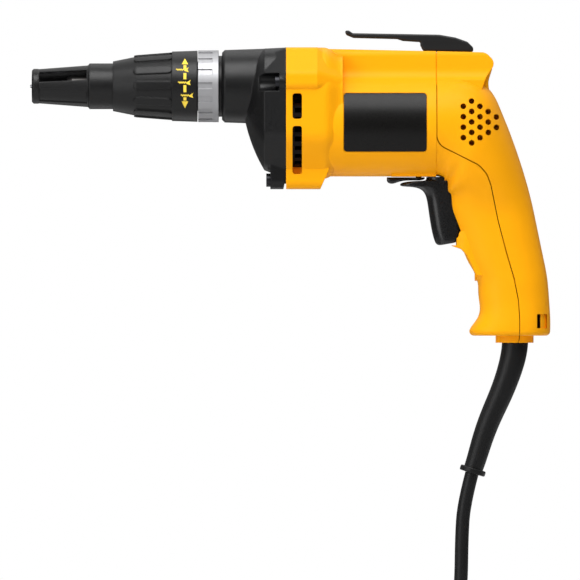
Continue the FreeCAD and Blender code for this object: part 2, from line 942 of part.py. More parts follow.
def handle_screw_boss():
    """Boss inside the grip's front that the screw's head sits on."""
    place = handle_screw_axis()
    wall_x = place.x - handle_screw_recess + body_wall / 2
    return bar(handle_screw_boss_radius, wall_x, place.x + handle_screw_head_length + body_wall, place.z)


def switch_rails():
    """Rails on both sides of the grip that hold the switch."""
    low = switch_low + switch_rail_margin
    rail = block((switch_front_x, switch_half_width, low),
                 (switch_front_x + switch_rail_length, 2 * grip_half_width, low + switch_rail_height))
    return [side.common(grip_form(body_wall / 2, rear_degrees)) for side in both_sides(rail)]


def trigger_room():
    """Mouth in the grip's front that the trigger slides into."""
    half = trigger_half_width + face_gap
    return block((trigger_front_x - overrun, -half, trigger_low - face_gap),
                 (switch_front_x, half, pad_height - running_gap))


def lever_room():
    """Hole under the barrel for the reverse lever's pin."""
    return Part.makeCylinder(lever_pin_radius + running_gap, lever_pin_length + face_gap,
                             Vector(lever_pivot_x, 0, lever_arm_top() - lever_arm_thickness))


def lever_arm_top():
    """Top of the lever's arm, just under the barrel."""
    return motor_height - body_radius - face_gap


def handle_screw_hole():
    """Counterbore and hole for the handle screw."""
    place = handle_screw_axis()
    bore = bar(handle_screw_head_radius + running_gap, place.x - 2 * handle_screw_recess,
               place.x + handle_screw_head_length, place.z)
    hole = bar(handle_screw_radius, place.x, place.x + handle_screw_length, place.z)
    return [bore, hole]


def handle_screw():
    """Pan-head screw from the grip's front into the cover's post."""
    place = handle_screw_axis()
    head = bar(handle_screw_head_radius, place.x, place.x + handle_screw_head_length, place.z)
    return joined([head, bar(handle_screw_radius, place.x, place.x + handle_screw_length, place.z)])


def handle_cover():
    """Rear piece: tail with the intake holes and rear half of the grip."""
    grip = softened(grip_form(0.0, front_degrees), heel_edge_radius,
                    lambda edge: edge.BoundBox.ZMax < heel_height + running_gap)
    form = joined([grip, spine_form(), lip_form(front_degrees)])
    form = form.cut(seam_region(seam_gap))
    form = form.cut(hollow_form(front_degrees))
    place = handle_screw_axis()
    tip_x = place.x + handle_screw_length
    wall_x = grip_depth * [row[2] for row in grip_shares
                           if row[0] == handle_screw_fall_share][0] - body_wall / 2
    post = bar(handle_screw_head_radius, tip_x - handle_screw_grip, wall_x, place.z)
    rib = block((seam_x + vent_front - overrun, -vent_rib_thickness / 2, motor_height - vent_rib_fall),
                (grip_depth, vent_rib_thickness / 2, motor_height + vent_rib_rise))
    form = form.fuse(post).fuse(rib.common(grip_form(body_wall / 2, front_degrees)))
    cuts = [drill.cut(rib) for drill in vent_drills()]
    cuts += [latch_pocket()] + hook_screw_holes()
    cuts.append(bar(handle_screw_radius, place.x, tip_x, place.z))
    return form.cut(Part.makeCompound(cuts))


def name_plates():
    """Bare curved plates on both sides of the barrel."""
    inner = body_radius - plate_recess
    return name_plate_slab(inner, inner + plate_thickness, 0.0)


def screw_places():
    """Side and height of the four gear case screws."""
    places = []
    for side in (1, -1):
        places.append((side * boss_side, boss_height, joint_x - case_pocket_depth / 2))
        places.append((side * lower_screw_side, lower_screw_height, joint_x - case_foot_length))
    return places


def case_screw_holes():
    """Shank holes for the gear case screws."""
    return [bar(case_screw_radius, seat_x, joint_x + case_screw_grip, height, side) for side, height,
            seat_x in screw_places()]


def gear_case_screws():
    """Four pan-head screws."""
    screws = []
    for side, height, seat_x in screw_places():
        head = bar(case_screw_head_radius, seat_x - case_screw_head_length, seat_x, height, side)
        screws.append(joined([head, bar(case_screw_radius, seat_x, joint_x + case_screw_grip, height,
                                        side)]))
    return Part.makeCompound(screws)


def case_bowl_outline(x, share):
    """Cross-section of the bowl in front of its crease, shrinking towards the spindle."""
    side = flange_half_width - body_wall / 2
    points = [
        (flange_top_half_width * share, (flange_top - case_crown_drop) * share ** 2),
        (side * share, flange_shoulder * share),
        (side * share, -flange_hip * share),
        (flange_foot_half_width * share, -(flange_foot - foot_corner_radius) * share),
    ]
    points += [(-y, z) for y, z in reversed(points)]
    return outline(points, flange_corner_radius * share, cross_view(x, spindle_height))


def gear_case():
    """Black case round the gears, with the spigot that carries the ring and the nose."""
    crease_x = joint_x - case_crease
    bowl_x = joint_x - case_bowl_length
    rear = Part.makeLoft([case_bowl_outline(crease_x, 1.0), flange_outline(joint_x, 0.0)], True, True)
    middle_x = crease_x + (bowl_x - crease_x) * case_bowl_middle_reach
    rings = [(bowl_x, case_bowl_end_share), (middle_x, case_bowl_middle_share), (crease_x, 1.0)]
    bowl = Part.makeLoft([case_bowl_outline(x, share) for x, share in rings], True, False)
    shoulder = [shoulder_outline(crease_x, shoulder_inset), shoulder_outline(joint_x, 0.0)]
    collar = turned([
        (joint_x, 0),
        (joint_x, flange_top),
        (case_front_x + case_edge_radius, case_collar_radius),
        (case_front_x, case_collar_radius - case_edge_radius),
        (case_front_x, spigot_radius),
        (ring_rear_x, spigot_radius),
        (ring_rear_x, ring_seat_radius),
        (ring_front_x, ring_seat_radius),
        (ring_front_x, register_radius),
        (register_front_x + case_edge_radius, register_radius),
        (register_front_x, register_radius - case_edge_radius),
        (register_front_x, 0),
    ], spindle_height)
    foot = foot_block(joint_x - case_foot_length, joint_x, case_edge_radius)
    boss = bar(boss_radius, joint_x - case_pocket_depth / 2, joint_x, boss_height, boss_side)
    case = joined([rear, bowl, collar, foot, Part.makeLoft(shoulder, True, True)])
    pocket = bar(boss_radius, joint_x - case_crease - overrun, joint_x - case_pocket_depth / 2,
                 boss_height, boss_side)
    pocket = joined([pocket, block((joint_x - case_crease - overrun, boss_side, boss_height - boss_radius),
                                   (joint_x - case_pocket_depth / 2, 2 * boss_side,
                                    boss_height + boss_radius))])
    case = joined([case.cut(Part.makeCompound(both_sides(pocket)))] + both_sides(boss))
    gear_radius = gear_tip_radius() + gear_room
    pinion_radius = pinion_tip_radius() + gear_room
    cuts = [
        bar(gear_radius, gear_front_x - gear_room, joint_x, spindle_height),
        bar(jaw_outer_radius + jaw_room, jaw_front_x - jaw_room, joint_x, spindle_height),
        bar(pinion_radius, gear_front_x - pinion_width + gear_width - gear_room, joint_x, motor_height),
        bar(spindle_radius + bush_wall, jaw_front_x - front_bush_length, joint_x, spindle_height),
        bar(spigot_bore_radius, register_front_x - overrun, jaw_front_x - front_bush_length - face_gap,
            spindle_height),
        bar(spindle_radius + slide_gap, register_front_x, joint_x, spindle_height),
        plate_form(case_wall, joint_x + overrun, boss_radius),
    ]
    return case.cut(joined(cuts)).cut(Part.makeCompound(case_screw_holes()))


def rear_seat_radius():
    """Outside radius of the boss round the spindle's rear bush."""
    return spindle_tail_radius + bush_wall + bearing_seat_wall


def plate_form(inset, rear_x, notch_radius):
    """Flat plate inside the flange's outline, notched round the upper screw bosses."""
    plate = Part.makeLoft([flange_outline(plate_front_x, inset), flange_outline(rear_x, inset)], True, True)
    notch = bar(notch_radius, plate_front_x - overrun, rear_x + overrun, boss_height, boss_side)
    return plate.cut(Part.makeCompound(both_sides(notch)))


def bearing_plate():
    """Plate between gears and motor that holds a bearing and the spindle's rear bush."""
    plate = plate_form(case_wall + plate_wall_gap, plate_rear_x, boss_radius + plate_wall_gap)
    seat_x = joint_x + bearing_seat_length
    seats = [bar(front_bearing_radius + bearing_seat_wall, plate_front_x, seat_x, motor_height)]
    seats.append(bar(rear_seat_radius(), plate_front_x, seat_x, spindle_height))
    plate = joined([plate] + seats)
    bearing_x = seat_x - front_bearing_width
    cuts = [
        bar(front_bearing_radius, bearing_x, seat_x + overrun, motor_height),
        bar(front_bearing_radius * (1.0 - ring_wall_share), plate_front_x - overrun, seat_x, motor_height),
        bar(spindle_tail_radius + bush_wall, seat_x - rear_bush_length, seat_x + overrun, spindle_height),
        bar(spindle_tail_radius + slide_gap, plate_front_x - overrun, seat_x, spindle_height),
    ]
    return plate.cut(joined(cuts[:2])).cut(joined(cuts[2:]))


def bearing(radius, bore, width, start_x):
    """Outer ring, inner ring and balls of one bearing on the motor axis."""
    wall = (radius - bore) * ring_wall_share
    ball_radius = (radius - bore) / 2 - wall / 2
    pitch = (radius + bore) / 2
    race = Part.makeTorus(pitch, ball_radius + running_gap, Vector(start_x + width / 2, 0, motor_height),
                          along)
    outer = tube(radius, radius - wall, start_x, start_x + width, motor_height).cut(race)
    inner = tube(bore + wall, bore, start_x, start_x + width, motor_height).cut(race)
    ball = Part.makeSphere(ball_radius, Vector(start_x + width / 2, pitch, motor_height))
    return outer, inner, Part.makeCompound(spread(ball, ball_count, motor_height))


def front_bearing():
    """Bearing in the bearing plate."""
    start_x = joint_x + bearing_seat_length - front_bearing_width
    return bearing(front_bearing_radius, front_bearing_bore, front_bearing_width, start_x)


def rear_bearing():
    """Bearing in the housing's rear web."""
    return bearing(rear_bearing_radius, rear_bearing_bore, rear_bearing_width, web_front_x)


def spindle_front_bush():
    """Bronze bush in the gear case."""
    rear_x = jaw_front_x - face_gap
    return tube(spindle_radius + bush_wall, spindle_radius + running_gap, jaw_front_x - front_bush_length,
                rear_x, spindle_height)


def spindle_rear_bush():
    """Bronze bush in the bearing plate."""
    rear_x = joint_x + bearing_seat_length
    return tube(spindle_tail_radius + bush_wall, spindle_tail_radius + running_gap,
                rear_x - rear_bush_length, rear_x, spindle_height)


def pinion_tip_radius():
    """Outside radius of the pinion."""
    return gear_module * (pinion_tooth_count / 2 + 1 + tooth_shift_share)


def gear_tip_radius():
    """Outside radius of the drive gear."""
    return gear_module * (gear_tooth_count / 2 + 1 - tooth_shift_share)


def involute_flank(base, low, high, half_angle):
    """Points of one flank, as (radius, angle from the tooth's middle)."""
    flank = [(low, half_angle)] if low < base else []
    start = max(base, low)
    for step in range(flank_point_count):
        radius = start + (high - start) * step / (flank_point_count - 1)
        roll = math.sqrt((radius / base) ** 2 - 1)
        flank.append((radius, half_angle - (roll - math.atan(roll))))
    return flank


def toothed(count, shift_share, width, start_x, height, phase_degrees):
    """Spur gear with involute teeth; the phase is the first tooth's turn from +Z."""
    slope = math.radians(pressure_angle_degrees)
    pitch = gear_module * count / 2
    base = pitch * math.cos(slope)
    low = pitch - gear_module * (tooth_root_share - shift_share)
    high = pitch + gear_module * (1 + shift_share)
    thickness = gear_module * (math.pi / 2 + 2 * shift_share * math.tan(slope)) - tooth_backlash / 2
    half_angle = thickness / (2 * pitch) + math.tan(slope) - slope
    flank = involute_flank(base, low, high, half_angle)

    def place(radius, angle):
        return Vector(start_x, radius * math.sin(angle), height + radius * math.cos(angle))

    edges = []
    for tooth in range(count):
        middle = 2 * math.pi * tooth / count + math.radians(phase_degrees)
        rising = [place(radius, middle - angle) for radius, angle in flank]
        falling = [place(radius, middle + angle) for radius, angle in reversed(flank)]
        root_end = place(low, middle + 2 * math.pi / count - flank[0][1])
        for side in (rising, falling):
            curve = Part.BSplineCurve()
            curve.interpolate(Points=side)
            edges.append(curve.toShape())
        edges.insert(-1, Part.Arc(rising[-1], place(high, middle), falling[0]).toShape())
        edges.append(Part.Arc(falling[-1], place(low, middle + math.pi / count), root_end).toShape())
    return Part.Face(Part.Wire(edges)).extrude(along * width)


def jaws(start_x, phase_degrees):
    """Ring of clutch jaws, each a sector of a tube."""
    ring = tube(jaw_outer_radius, jaw_inner_radius, start_x, start_x + jaw_height, spindle_height)
    half = math.radians(jaw_sweep_degrees / 2)
    far = 2 * jaw_outer_radius
    corners = [Vector(start_x, 0, spindle_height)]
    for turn in (half, -half):
        corners.append(Vector(start_x, far * math.sin(turn), spindle_height + far * math.cos(turn)))
    wedge = Part.Face(Part.makePolygon(corners + corners[:1])).extrude(along * jaw_height)
    return [ring.common(copy) for copy in spread(wedge, jaw_count, spindle_height, phase_degrees)]


def drive_gear():
    """Large gear that turns freely on the spindle's tail until the jaws meet."""
    phase = 180.0 + 180.0 / gear_tooth_count
    gear = toothed(gear_tooth_count, -tooth_shift_share, gear_width, gear_front_x, spindle_height, phase)
    gear = joined([gear] + jaws(gear_front_x - jaw_height, 0.0))
    return gear.cut(bar(spindle_tail_radius + running_gap, gear_front_x - overrun, gear_rear_x + overrun,
                        spindle_height))


def motor_pinion():
    """Nine-tooth pinion on the armature shaft's nose."""
    start_x = gear_rear_x - pinion_width + gear_face_setback
    pinion = toothed(pinion_tooth_count, tooth_shift_share, pinion_width, start_x, motor_height, 0.0)
    return pinion.cut(bar(shaft_nose_radius, start_x - overrun, start_x + pinion_width + overrun,
                          motor_height))


def spindle():
    """Spindle with its jaw plate, which is pushed back against the spring to engage."""
    tail_x = joint_x + bearing_seat_length - spindle_travel - face_gap
    body = turned([
        (tail_x, 0),
        (tail_x, spindle_tail_radius),
        (jaw_face_x, spindle_tail_radius),
        (jaw_face_x, jaw_outer_radius),
        (jaw_front_x, jaw_outer_radius),
        (jaw_front_x, spindle_radius),
        (holder_rear_x, spindle_radius),
        (holder_rear_x, stud_radius),
        (holder_rear_x - stud_length, stud_radius),
        (holder_rear_x - stud_length, 0),
    ], spindle_height)
    return joined([body] + jaws(jaw_face_x, 180.0 / jaw_count))


def spring_coil(radius, wire, start, end, turn_count):
    """Coil spring of eight-sided wire between two places."""
    way = end - start
    slope = (way.Length - wire) / (2 * math.pi * turn_count)
    way.normalize()
    side = way.cross(upward)
    places = []
    for index in range(quarter_count * turn_count + 1):
        angle = 2 * math.pi * index / quarter_count
        out = upward * math.cos(angle) + side * math.sin(angle)
        onward = side * math.cos(angle) - upward * math.sin(angle)
        place = start + way * (wire / 2 + slope * angle) + out * radius
        places.append((place, (onward * radius + way * slope).normalize()))
    first, onward = places[0]
    corners = []
    for index in range(wire_side_count):
        angle = 2 * math.pi * index / wire_side_count
        out = upward * math.cos(angle) + onward.cross(upward) * math.sin(angle)
        corners.append(first + out * (wire / 2))
    profile = Part.makePolygon(corners + corners[:1])
    return arcs_through(places).makePipeShell([profile], True, False)


def clutch_spring():
    """Spring that keeps the jaws apart."""
    start = Vector(jaw_face_x + running_gap, 0, spindle_height)
    end = Vector(gear_front_x - running_gap, 0, spindle_height)
    return spring_coil(clutch_spring_radius, clutch_spring_wire, start, end, clutch_spring_turn_count)


def hexagon(across_flats, start_x, end_x):
    """Six-sided bar on the spindle axis."""
    radius = across_flats / math.sqrt(3)
    corners = []
    for index in range(hex_side_count):
        angle = 2 * math.pi * index / hex_side_count
        corners.append(Vector(start_x, radius * math.sin(angle), spindle_height + radius * math.cos(angle)))
    return Part.Face(Part.makePolygon(corners + corners[:1])).extrude(along * (end_x - start_x))


def bit_holder():
    """Round holder with a six-sided socket for the bit."""
    body = turned([
        (holder_rear_x, 0),
        (holder_rear_x, holder_radius),
        (holder_front_x + holder_nose_length, holder_radius),
        (holder_front_x, holder_nose_radius),
        (holder_front_x, 0),
    ], spindle_height)
    socket = hexagon(hex_across_flats + 2 * hex_gap, holder_front_x - overrun, socket_end_x)
    body = body.cut(socket).cut(bar(magnet_radius, socket_end_x - running_gap,
                                    socket_end_x + magnet_length, spindle_height))
    return body.cut(bar(stud_radius, holder_rear_x - stud_length, holder_rear_x + overrun, spindle_height))


def bit_magnet():
    """Magnet at the bottom of the socket."""
    return bar(magnet_radius, socket_end_x, socket_end_x + magnet_length, spindle_height)


def driver_bit():
    """Cross-point bit with four flutes."""
    shank_end_x = socket_end_x - bit_shank_length
    shank = hexagon(hex_across_flats, shank_end_x, socket_end_x)
    point = turned([
        (shank_end_x, 0),
        (shank_end_x, hex_across_flats / 2),
        (shank_end_x - bit_cone_length, bit_neck_radius),
        (bit_tip_x + bit_point_length, bit_neck_radius),
        (bit_tip_x, bit_point_radius),
        (bit_tip_x, 0),
    ], spindle_height)
    offset = bit_neck_radius * bit_flute_reach_share
    flute = block((bit_tip_x - overrun, offset - bit_flute_width / 2,
                   spindle_height + offset - bit_flute_width / 2),
                  (bit_tip_x + bit_point_length, bit_neck_radius * 2, spindle_height + bit_neck_radius * 2))
    return joined([shank, point]).cut(Part.makeCompound(spread(flute, bit_flute_count, spindle_height)))


def detent_ring():
    """Bright ring with shallow notches that hold the nose's setting."""
    ring = tube(ring_radius, ring_seat_radius, ring_front_x, ring_rear_x, spindle_height)
    notch = block((ring_front_x - overrun, -ring_notch_width / 2,
                   spindle_height + ring_radius - ring_notch_depth),
                  (ring_rear_x - ring_length * ring_rim_share, ring_notch_width / 2,
                   spindle_height + ring_radius + overrun))
    return ring.cut(Part.makeCompound(spread(notch, ring_notch_count, spindle_height)))


def locator_sleeve():
    """Sleeve that pushes onto the spigot and carries the collar and the nosepiece."""
    return tube(sleeve_outer_radius, sleeve_inner_radius, sleeve_front_x, collar_rear_x, spindle_height)


def collar_profile(rise):
    """Outside of the depth collar, as (x, radius), raised over its finger ribs."""
    cone_x = collar_front_x + collar_cone_length
    smooth_x = collar_rear_x - collar_smooth_length
    return [
        (collar_front_x, collar_front_radius + rise),
        (cone_x, collar_cone_radius + rise),
        (smooth_x, collar_low_radius + rise),
    ]


def depth_collar():
    """Collar that screws the nosepiece in and out, with raised finger ribs."""
    low = collar_profile(0.0)
    smooth_x = collar_rear_x - collar_smooth_length
    body = turned(low + [
        (smooth_x, collar_high_radius),
        (collar_rear_x, collar_rear_radius),
        (collar_rear_x, 0),
        (collar_front_x, 0),
    ], spindle_height)
    raised = turned(collar_profile(collar_finger_rise) + [(smooth_x, 0), (collar_front_x, 0)],
                    spindle_height)
    start_x = collar_front_x + collar_cone_length - collar_finger_lead
    half = collar_finger_width / 2
    points = [(start_x, -half), (smooth_x + running_gap, -half), (smooth_x + running_gap, half),
              (start_x, half)]
    finger = Part.Face(outline(points, half, plan_view(spindle_height + nose_tube_radius)))
    finger = finger.extrude(upward * collar_rear_radius)
    fingers = raised.common(Part.makeCompound(spread(finger, collar_finger_count, spindle_height)))
    body = joined([body] + fingers.Solids)
    body = body.cut(bar(nose_tube_radius + slide_gap, collar_front_x - overrun, collar_rear_x,
                        spindle_height))
    return body.cut(bar(sleeve_outer_radius + slide_gap, sleeve_front_x - face_gap,
                        collar_rear_x + overrun, spindle_height))


def nosepiece():
    """Tapered nose with two windows and two sunk panels, which sets how deep the screw goes."""
    rim_x = nose_front_x + nose_rim_length
    tube_x = collar_front_x - nose_tube_length
    rear_x = register_front_x - nose_rear_gap
    body = turned([
        (nose_front_x, nose_mouth_radius),
        (nose_front_x, nose_rim_radius - nose_rim_edge),
        (nose_front_x + nose_rim_edge, nose_rim_radius),
        (rim_x, nose_rim_radius),
        (rim_x, nose_neck_radius),
        (tube_x, nose_cone_rear_radius),
        (tube_x + nose_rim_edge, nose_tube_radius),
        (rear_x, nose_tube_radius),
        (rear_x, nose_cone_rear_radius - nose_wall),
        (tube_x, nose_cone_rear_radius - nose_wall),
        (rim_x, nose_neck_radius - nose_wall),
        (rim_x - nose_wall, nose_mouth_radius),
    ], spindle_height)
    front_x = rim_x + nose_window_margin
    end_x = tube_x - nose_window_margin
    half = nose_window_width / 2
    window = block((front_x, -half, spindle_height), (end_x, half, spindle_height + 2 * nose_tube_radius))
    cuts = spread(window, nose_window_count, spindle_height, 90.0 - nose_window_degrees)
    skin = turned([
        (rim_x, nose_neck_radius - nose_panel_depth),
        (tube_x, nose_cone_rear_radius - nose_panel_depth),
        (tube_x, 2 * nose_tube_radius),
        (rim_x, 2 * nose_tube_radius),
    ], spindle_height)
    half = nose_panel_width / 2
    panel = block((front_x, -half, spindle_height), (end_x, half, spindle_height + 2 * nose_tube_radius))
    cuts += spread(skin.common(panel), nose_window_count, spindle_height, 90.0 - nose_panel_degrees)
    return body.cut(Part.makeCompound(cuts))


def armature_shaft():
    """Stepped shaft through the motor, with a thin nose for the pinion."""
    nose_x = gear_rear_x - pinion_width + gear_face_setback
    step_x = gear_rear_x + gear_face_setback
    seat_x = joint_x + bearing_seat_length
    return turned([
        (nose_x, 0),
        (nose_x, shaft_nose_radius),
        (step_x, shaft_nose_radius),
        (step_x, front_bearing_bore),
        (seat_x, front_bearing_bore),
        (seat_x, shaft_radius),
        (web_front_x, shaft_radius),
        (web_front_x, rear_bearing_bore),
        (seam_x, rear_bearing_bore),
        (seam_x, 0),
    ], motor_height)


def cooling_fan():
    """Radial fan with a back plate."""
    plate_x = fan_rear_x - fan_plate_thickness
    hub = bar(fan_hub_radius, fan_front_x, fan_rear_x, motor_height)
    disc = bar(fan_radius, plate_x, fan_rear_x, motor_height)
    half = fan_blade_thickness / 2
    blade = block((fan_front_x, -half, motor_height + fan_hub_radius - half),
                  (fan_rear_x, half, motor_height + fan_radius - half))
    fan = joined([hub, disc] + spread(blade, fan_blade_count, motor_height))
    return fan.cut(bar(shaft_radius, fan_front_x - overrun, fan_rear_x + overrun, motor_height))


def fan_shroud():
    """Black ring of bars behind the exhaust slots."""
    outer = bore_radius - running_gap
    rear_x = fan_rear_x + shroud_rim
    start_x = joint_x + bearing_seat_length + slide_gap
    ring = tube(outer, outer - shroud_wall, start_x, rear_x, motor_height)
    gap = 2 * math.pi * outer / shroud_bar_count * (1.0 - shroud_bar_share)
    window = block((start_x + shroud_rim, -gap / 2, motor_height),
                   (rear_x - shroud_rim, gap / 2, motor_height + 2 * outer))
    return ring.cut(Part.makeCompound(spread(window, shroud_bar_count, motor_height)))


def fan_baffle():
    """Ring that keeps the fan's air from turning back."""
    start_x = fan_rear_x + shroud_rim
    return tube(bore_radius - running_gap, baffle_bore_radius, start_x, start_x + baffle_thickness,
                motor_height)


def pole_wedges(start_x, end_x):
    """Two sectors, above and below the motor axis, that the poles fill."""
    half = math.radians(pole_spread_degrees / 2)
    far = 2 * body_radius
    corners = [Vector(start_x, 0, motor_height)]
    for turn in (half, -half):
        corners.append(Vector(start_x, far * math.sin(turn), motor_height + far * math.cos(turn)))
    wedge = Part.Face(Part.makePolygon(corners + corners[:1])).extrude(along * (end_x - start_x))
    return Part.makeCompound(spread(wedge, 2, motor_height))


def field_stack():
    """Stack of laminations with two poles."""
    yoke_radius = bore_radius - stack_yoke
    yoke = tube(bore_radius - running_gap, yoke_radius, stack_front_x, stack_rear_x, motor_height)
    poles = tube(yoke_radius + running_gap, core_radius + pole_gap, stack_front_x, stack_rear_x,
                 motor_height)
    return joined([yoke] + poles.common(pole_wedges(stack_front_x, stack_rear_x)).Solids)


def field_coils():
    """Two coils, one round each pole."""
    start_x = stack_front_x - coil_overhang
    end_x = stack_rear_x + coil_overhang
    outer = bore_radius - stack_yoke - coil_gap
    ring = tube(outer, core_radius + pole_gap + coil_gap, start_x, end_x, motor_height)
    ring = ring.cut(pole_wedges(stack_front_x - coil_gap, stack_rear_x + coil_gap))
    split = block((start_x - overrun, -outer, motor_height - coil_split / 2),
                  (end_x + overrun, outer, motor_height + coil_split / 2))
    return Part.makeCompound(ring.cut(split).Solids)


def slot_bars(radius, depth, width, start_x, end_x):
    """Bars that fill the armature's slots."""
    slot = block((start_x, -width / 2, motor_height + radius - depth),
                 (end_x, width / 2, motor_height + radius))
    return spread(slot, core_slot_count, motor_height)


def armature_core():
    """Slotted stack of laminations on the shaft."""
    core = tube(core_radius, shaft_radius, stack_front_x, stack_rear_x, motor_height)
    bars = slot_bars(core_radius - core_lip, core_slot_depth, core_slot_width, stack_front_x - overrun,
                     stack_rear_x + overrun)
    return core.cut(Part.makeCompound(bars))


def armature_winding():
    """Winding in the slots with its end turns at both ends."""
    bars = slot_bars(core_radius - core_lip, core_slot_depth, core_slot_width,
                     stack_front_x - winding_overhang, stack_rear_x + winding_overhang)
    front = tube(winding_radius, winding_inner_radius, stack_front_x - winding_overhang, stack_front_x,
                 motor_height)
    rear = tube(winding_radius, winding_inner_radius, stack_rear_x, stack_rear_x + winding_overhang,
                motor_height)
    return joined([front, rear] + bars)


def commutator():
    """Copper drum cut into bars."""
    start_x = stack_rear_x + winding_overhang + commutator_gap
    drum = tube(commutator_radius, shaft_radius, start_x, start_x + commutator_length, motor_height)
    groove = block((start_x - overrun, -commutator_groove / 2,
                    motor_height + commutator_radius - commutator_groove_depth),
                   (start_x + commutator_length + overrun, commutator_groove / 2,
                    motor_height + commutator_radius + overrun))
    return drum.cut(Part.makeCompound(spread(groove, commutator_bar_count, motor_height)))


def brush_centre_x():
    """Middle of the commutator along the shaft."""
    return stack_rear_x + winding_overhang + commutator_gap + commutator_length / 2


def brush_box(start, length, grow):
    """Box round one brush, from the commutator outwards."""
    x = brush_centre_x()
    half = brush_width / 2 + grow
    rise = brush_height / 2 + grow
    return block((x - half, start, motor_height - rise), (x + half, start + length, motor_height + rise))


def brush_holders():
    """Two brass boxes that guide the brushes."""
    start = commutator_radius + face_gap
    length = bore_radius - face_gap - start
    holder = brush_box(start, length, brush_holder_wall + brush_gap)
    holder = holder.cut(brush_box(start - overrun, length + overrun - brush_holder_wall, brush_gap))
    return Part.makeCompound(both_sides(holder))


def carbon_brushes():
    """Two brushes that press on the commutator."""
    return Part.makeCompound(both_sides(brush_box(commutator_radius + running_gap, brush_length, 0.0)))


def brush_springs():
    """Springs behind the brushes."""
    start = commutator_radius + running_gap + brush_length
    end = bore_radius - face_gap - brush_holder_wall
    middle = Vector(brush_centre_x(), 0, motor_height)
    spring = spring_coil(brush_spring_radius, brush_spring_wire, middle + across * start,
                         middle + across * end, brush_spring_turn_count)
    return Part.makeCompound(both_sides(spring))


def trigger_place(index):
    """Corner of the trigger's outline."""
    reach, rise = trigger_shares[index]
    return Vector(trigger_front_x + trigger_depth * reach, 0, trigger_low + trigger_height * rise)


def trigger_plan(place, way):
    """Bar with a rounded front, run from a place in a direction."""
    half = trigger_half_width
    points = [(place.x, -half), (place.x + 2 * trigger_depth, -half), (place.x + 2 * trigger_depth, half),
              (place.x, half)]
    return Part.Face(outline(points, trigger_round, plan_view(place.z))).extrude(way)


def trigger():
    """Two-finger trigger with a lip that runs forward under the body."""
    corners = [trigger_place(index) for index in range(len(trigger_shares))]
    slab = side_slab([(corner.x, corner.z) for corner in corners], trigger_corner_radius, trigger_half_width)
    foot = corners[trigger_face_foot_index]
    way = corners[trigger_face_foot_index + 2] - foot
    face = trigger_plan(foot - way, way * 3)
    tongue_low = corners[-1].z
    tongue = trigger_plan(Vector(trigger_front_x, 0, tongue_low), upward * trigger_height)
    below = block((trigger_front_x, -trigger_half_width, trigger_low - overrun),
                  (trigger_front_x + 2 * trigger_depth, trigger_half_width, tongue_low))
    form = joined([slab.common(face).common(below), slab.common(tongue)])
    return form.cut(bar(plunger_radius, plunger_start_x(), switch_front_x, trigger_top - plunger_fall))


def plunger_start_x():
    """Front end of the plunger, inside the trigger."""
    return switch_front_x - trigger_travel - plunger_length / 2


def switch_plunger():
    """Rod from the trigger into the switch."""
    return bar(plunger_radius, plunger_start_x(), plunger_start_x() + plunger_length,
               trigger_top - plunger_fall)


def switch_body():
    """Switch block in the top of the grip."""
    box = block((switch_front_x, -switch_half_width, switch_low),
                (switch_front_x + switch_length, switch_half_width, switch_low + switch_height))
    box = softened(box, switch_edge_radius, lambda edge: True)
    depth = plunger_start_x() + plunger_length + trigger_travel + face_gap
    return box.cut(bar(plunger_radius + slide_gap, switch_front_x - overrun, depth,
                       trigger_top - plunger_fall))


def reverse_lever():
    """Small lever above the trigger that swings to choose the direction."""
    top = lever_arm_top()
    finger_x = lever_front_x + lever_finger_length
    half = lever_finger_half_width
    points = [(lever_front_x, -half), (finger_x, -half), (finger_x, half), (lever_front_x, half)]
    finger = Part.Face(outline(points, half, plan_view(top - lever_finger_height)))
    finger = finger.extrude(upward * lever_finger_height)
    arm = block((finger_x - half, -lever_arm_half_width, top - lever_arm_thickness),
                (lever_pivot_x, lever_arm_half_width, top))
    hub = Part.makeCylinder(lever_hub_radius, lever_arm_thickness,
                            Vector(lever_pivot_x, 0, top - lever_arm_thickness))
    pin = Part.makeCylinder(lever_pin_radius, lever_pin_length,
                            Vector(lever_pivot_x, 0, top - lever_arm_thickness))
    return joined([finger, arm, hub, pin])


def hook_point(reach_share, rise_share):
    """Place on the belt hook's outline, over the spine's top."""
    x = hook_rear_x - hook_length * (1.0 - reach_share)
    return (x, spine_top(x) + hook_height * rise_share)


def belt_hook():
    """Hook on top with a long arm that leaves a gap for the belt."""
    slab = side_slab([hook_point(*pair) for pair in hook_shares], hook_corner_radius, hook_half_width)
    slab = softened(slab, hook_edge_radius, lambda edge: edge.BoundBox.YLength < running_gap
                    and edge.BoundBox.ZMin > spine_top(hook_rear_x) + hook_height * hook_shares[6][1])
    return slab.cut(Part.makeCompound(hook_screw_holes()))


def hook_screw_tops():
    """Tops of the hook's screw heads."""
    arm_top = spine_top(hook_rear_x) + hook_height * hook_shares[5][1]
    return [Vector(hook_point(share, 0.0)[0], 0, arm_top) for share in hook_screw_shares]


def hook_screw_holes():
    """Counterbores and shank holes for the hook's screws."""
    holes = []
    for top in hook_screw_tops():
        head = Part.makeCylinder(hook_screw_head_radius, hook_height, top - upward * hook_screw_head_length)
        holes.append(joined([head, Part.makeCylinder(hook_screw_radius, hook_screw_length,
                                                     top - upward * hook_screw_length)]))
    return holes


def belt_hook_screws():
    """Two screws through the hook's base into the spine."""
    screws = []
    for top in hook_screw_tops():
        head = Part.makeCylinder(hook_screw_head_radius, hook_screw_head_length,
                                 top - upward * hook_screw_head_length)
        screws.append(joined([head, Part.makeCylinder(hook_screw_radius, hook_screw_length,
                                                      top - upward * hook_screw_length)]))
    return Part.makeCompound(screws)


def boot_ways():
    """Places along the boot's middle with the direction at each."""
    places = [Vector(x, 0, height) for x, height in boot_route]
    ways = []
    for index, place in enumerate(places):
        way = places[min(index + 1, len(places) - 1)] - places[max(index - 1, 0)]
        ways.append((place, way.normalize()))
    return ways


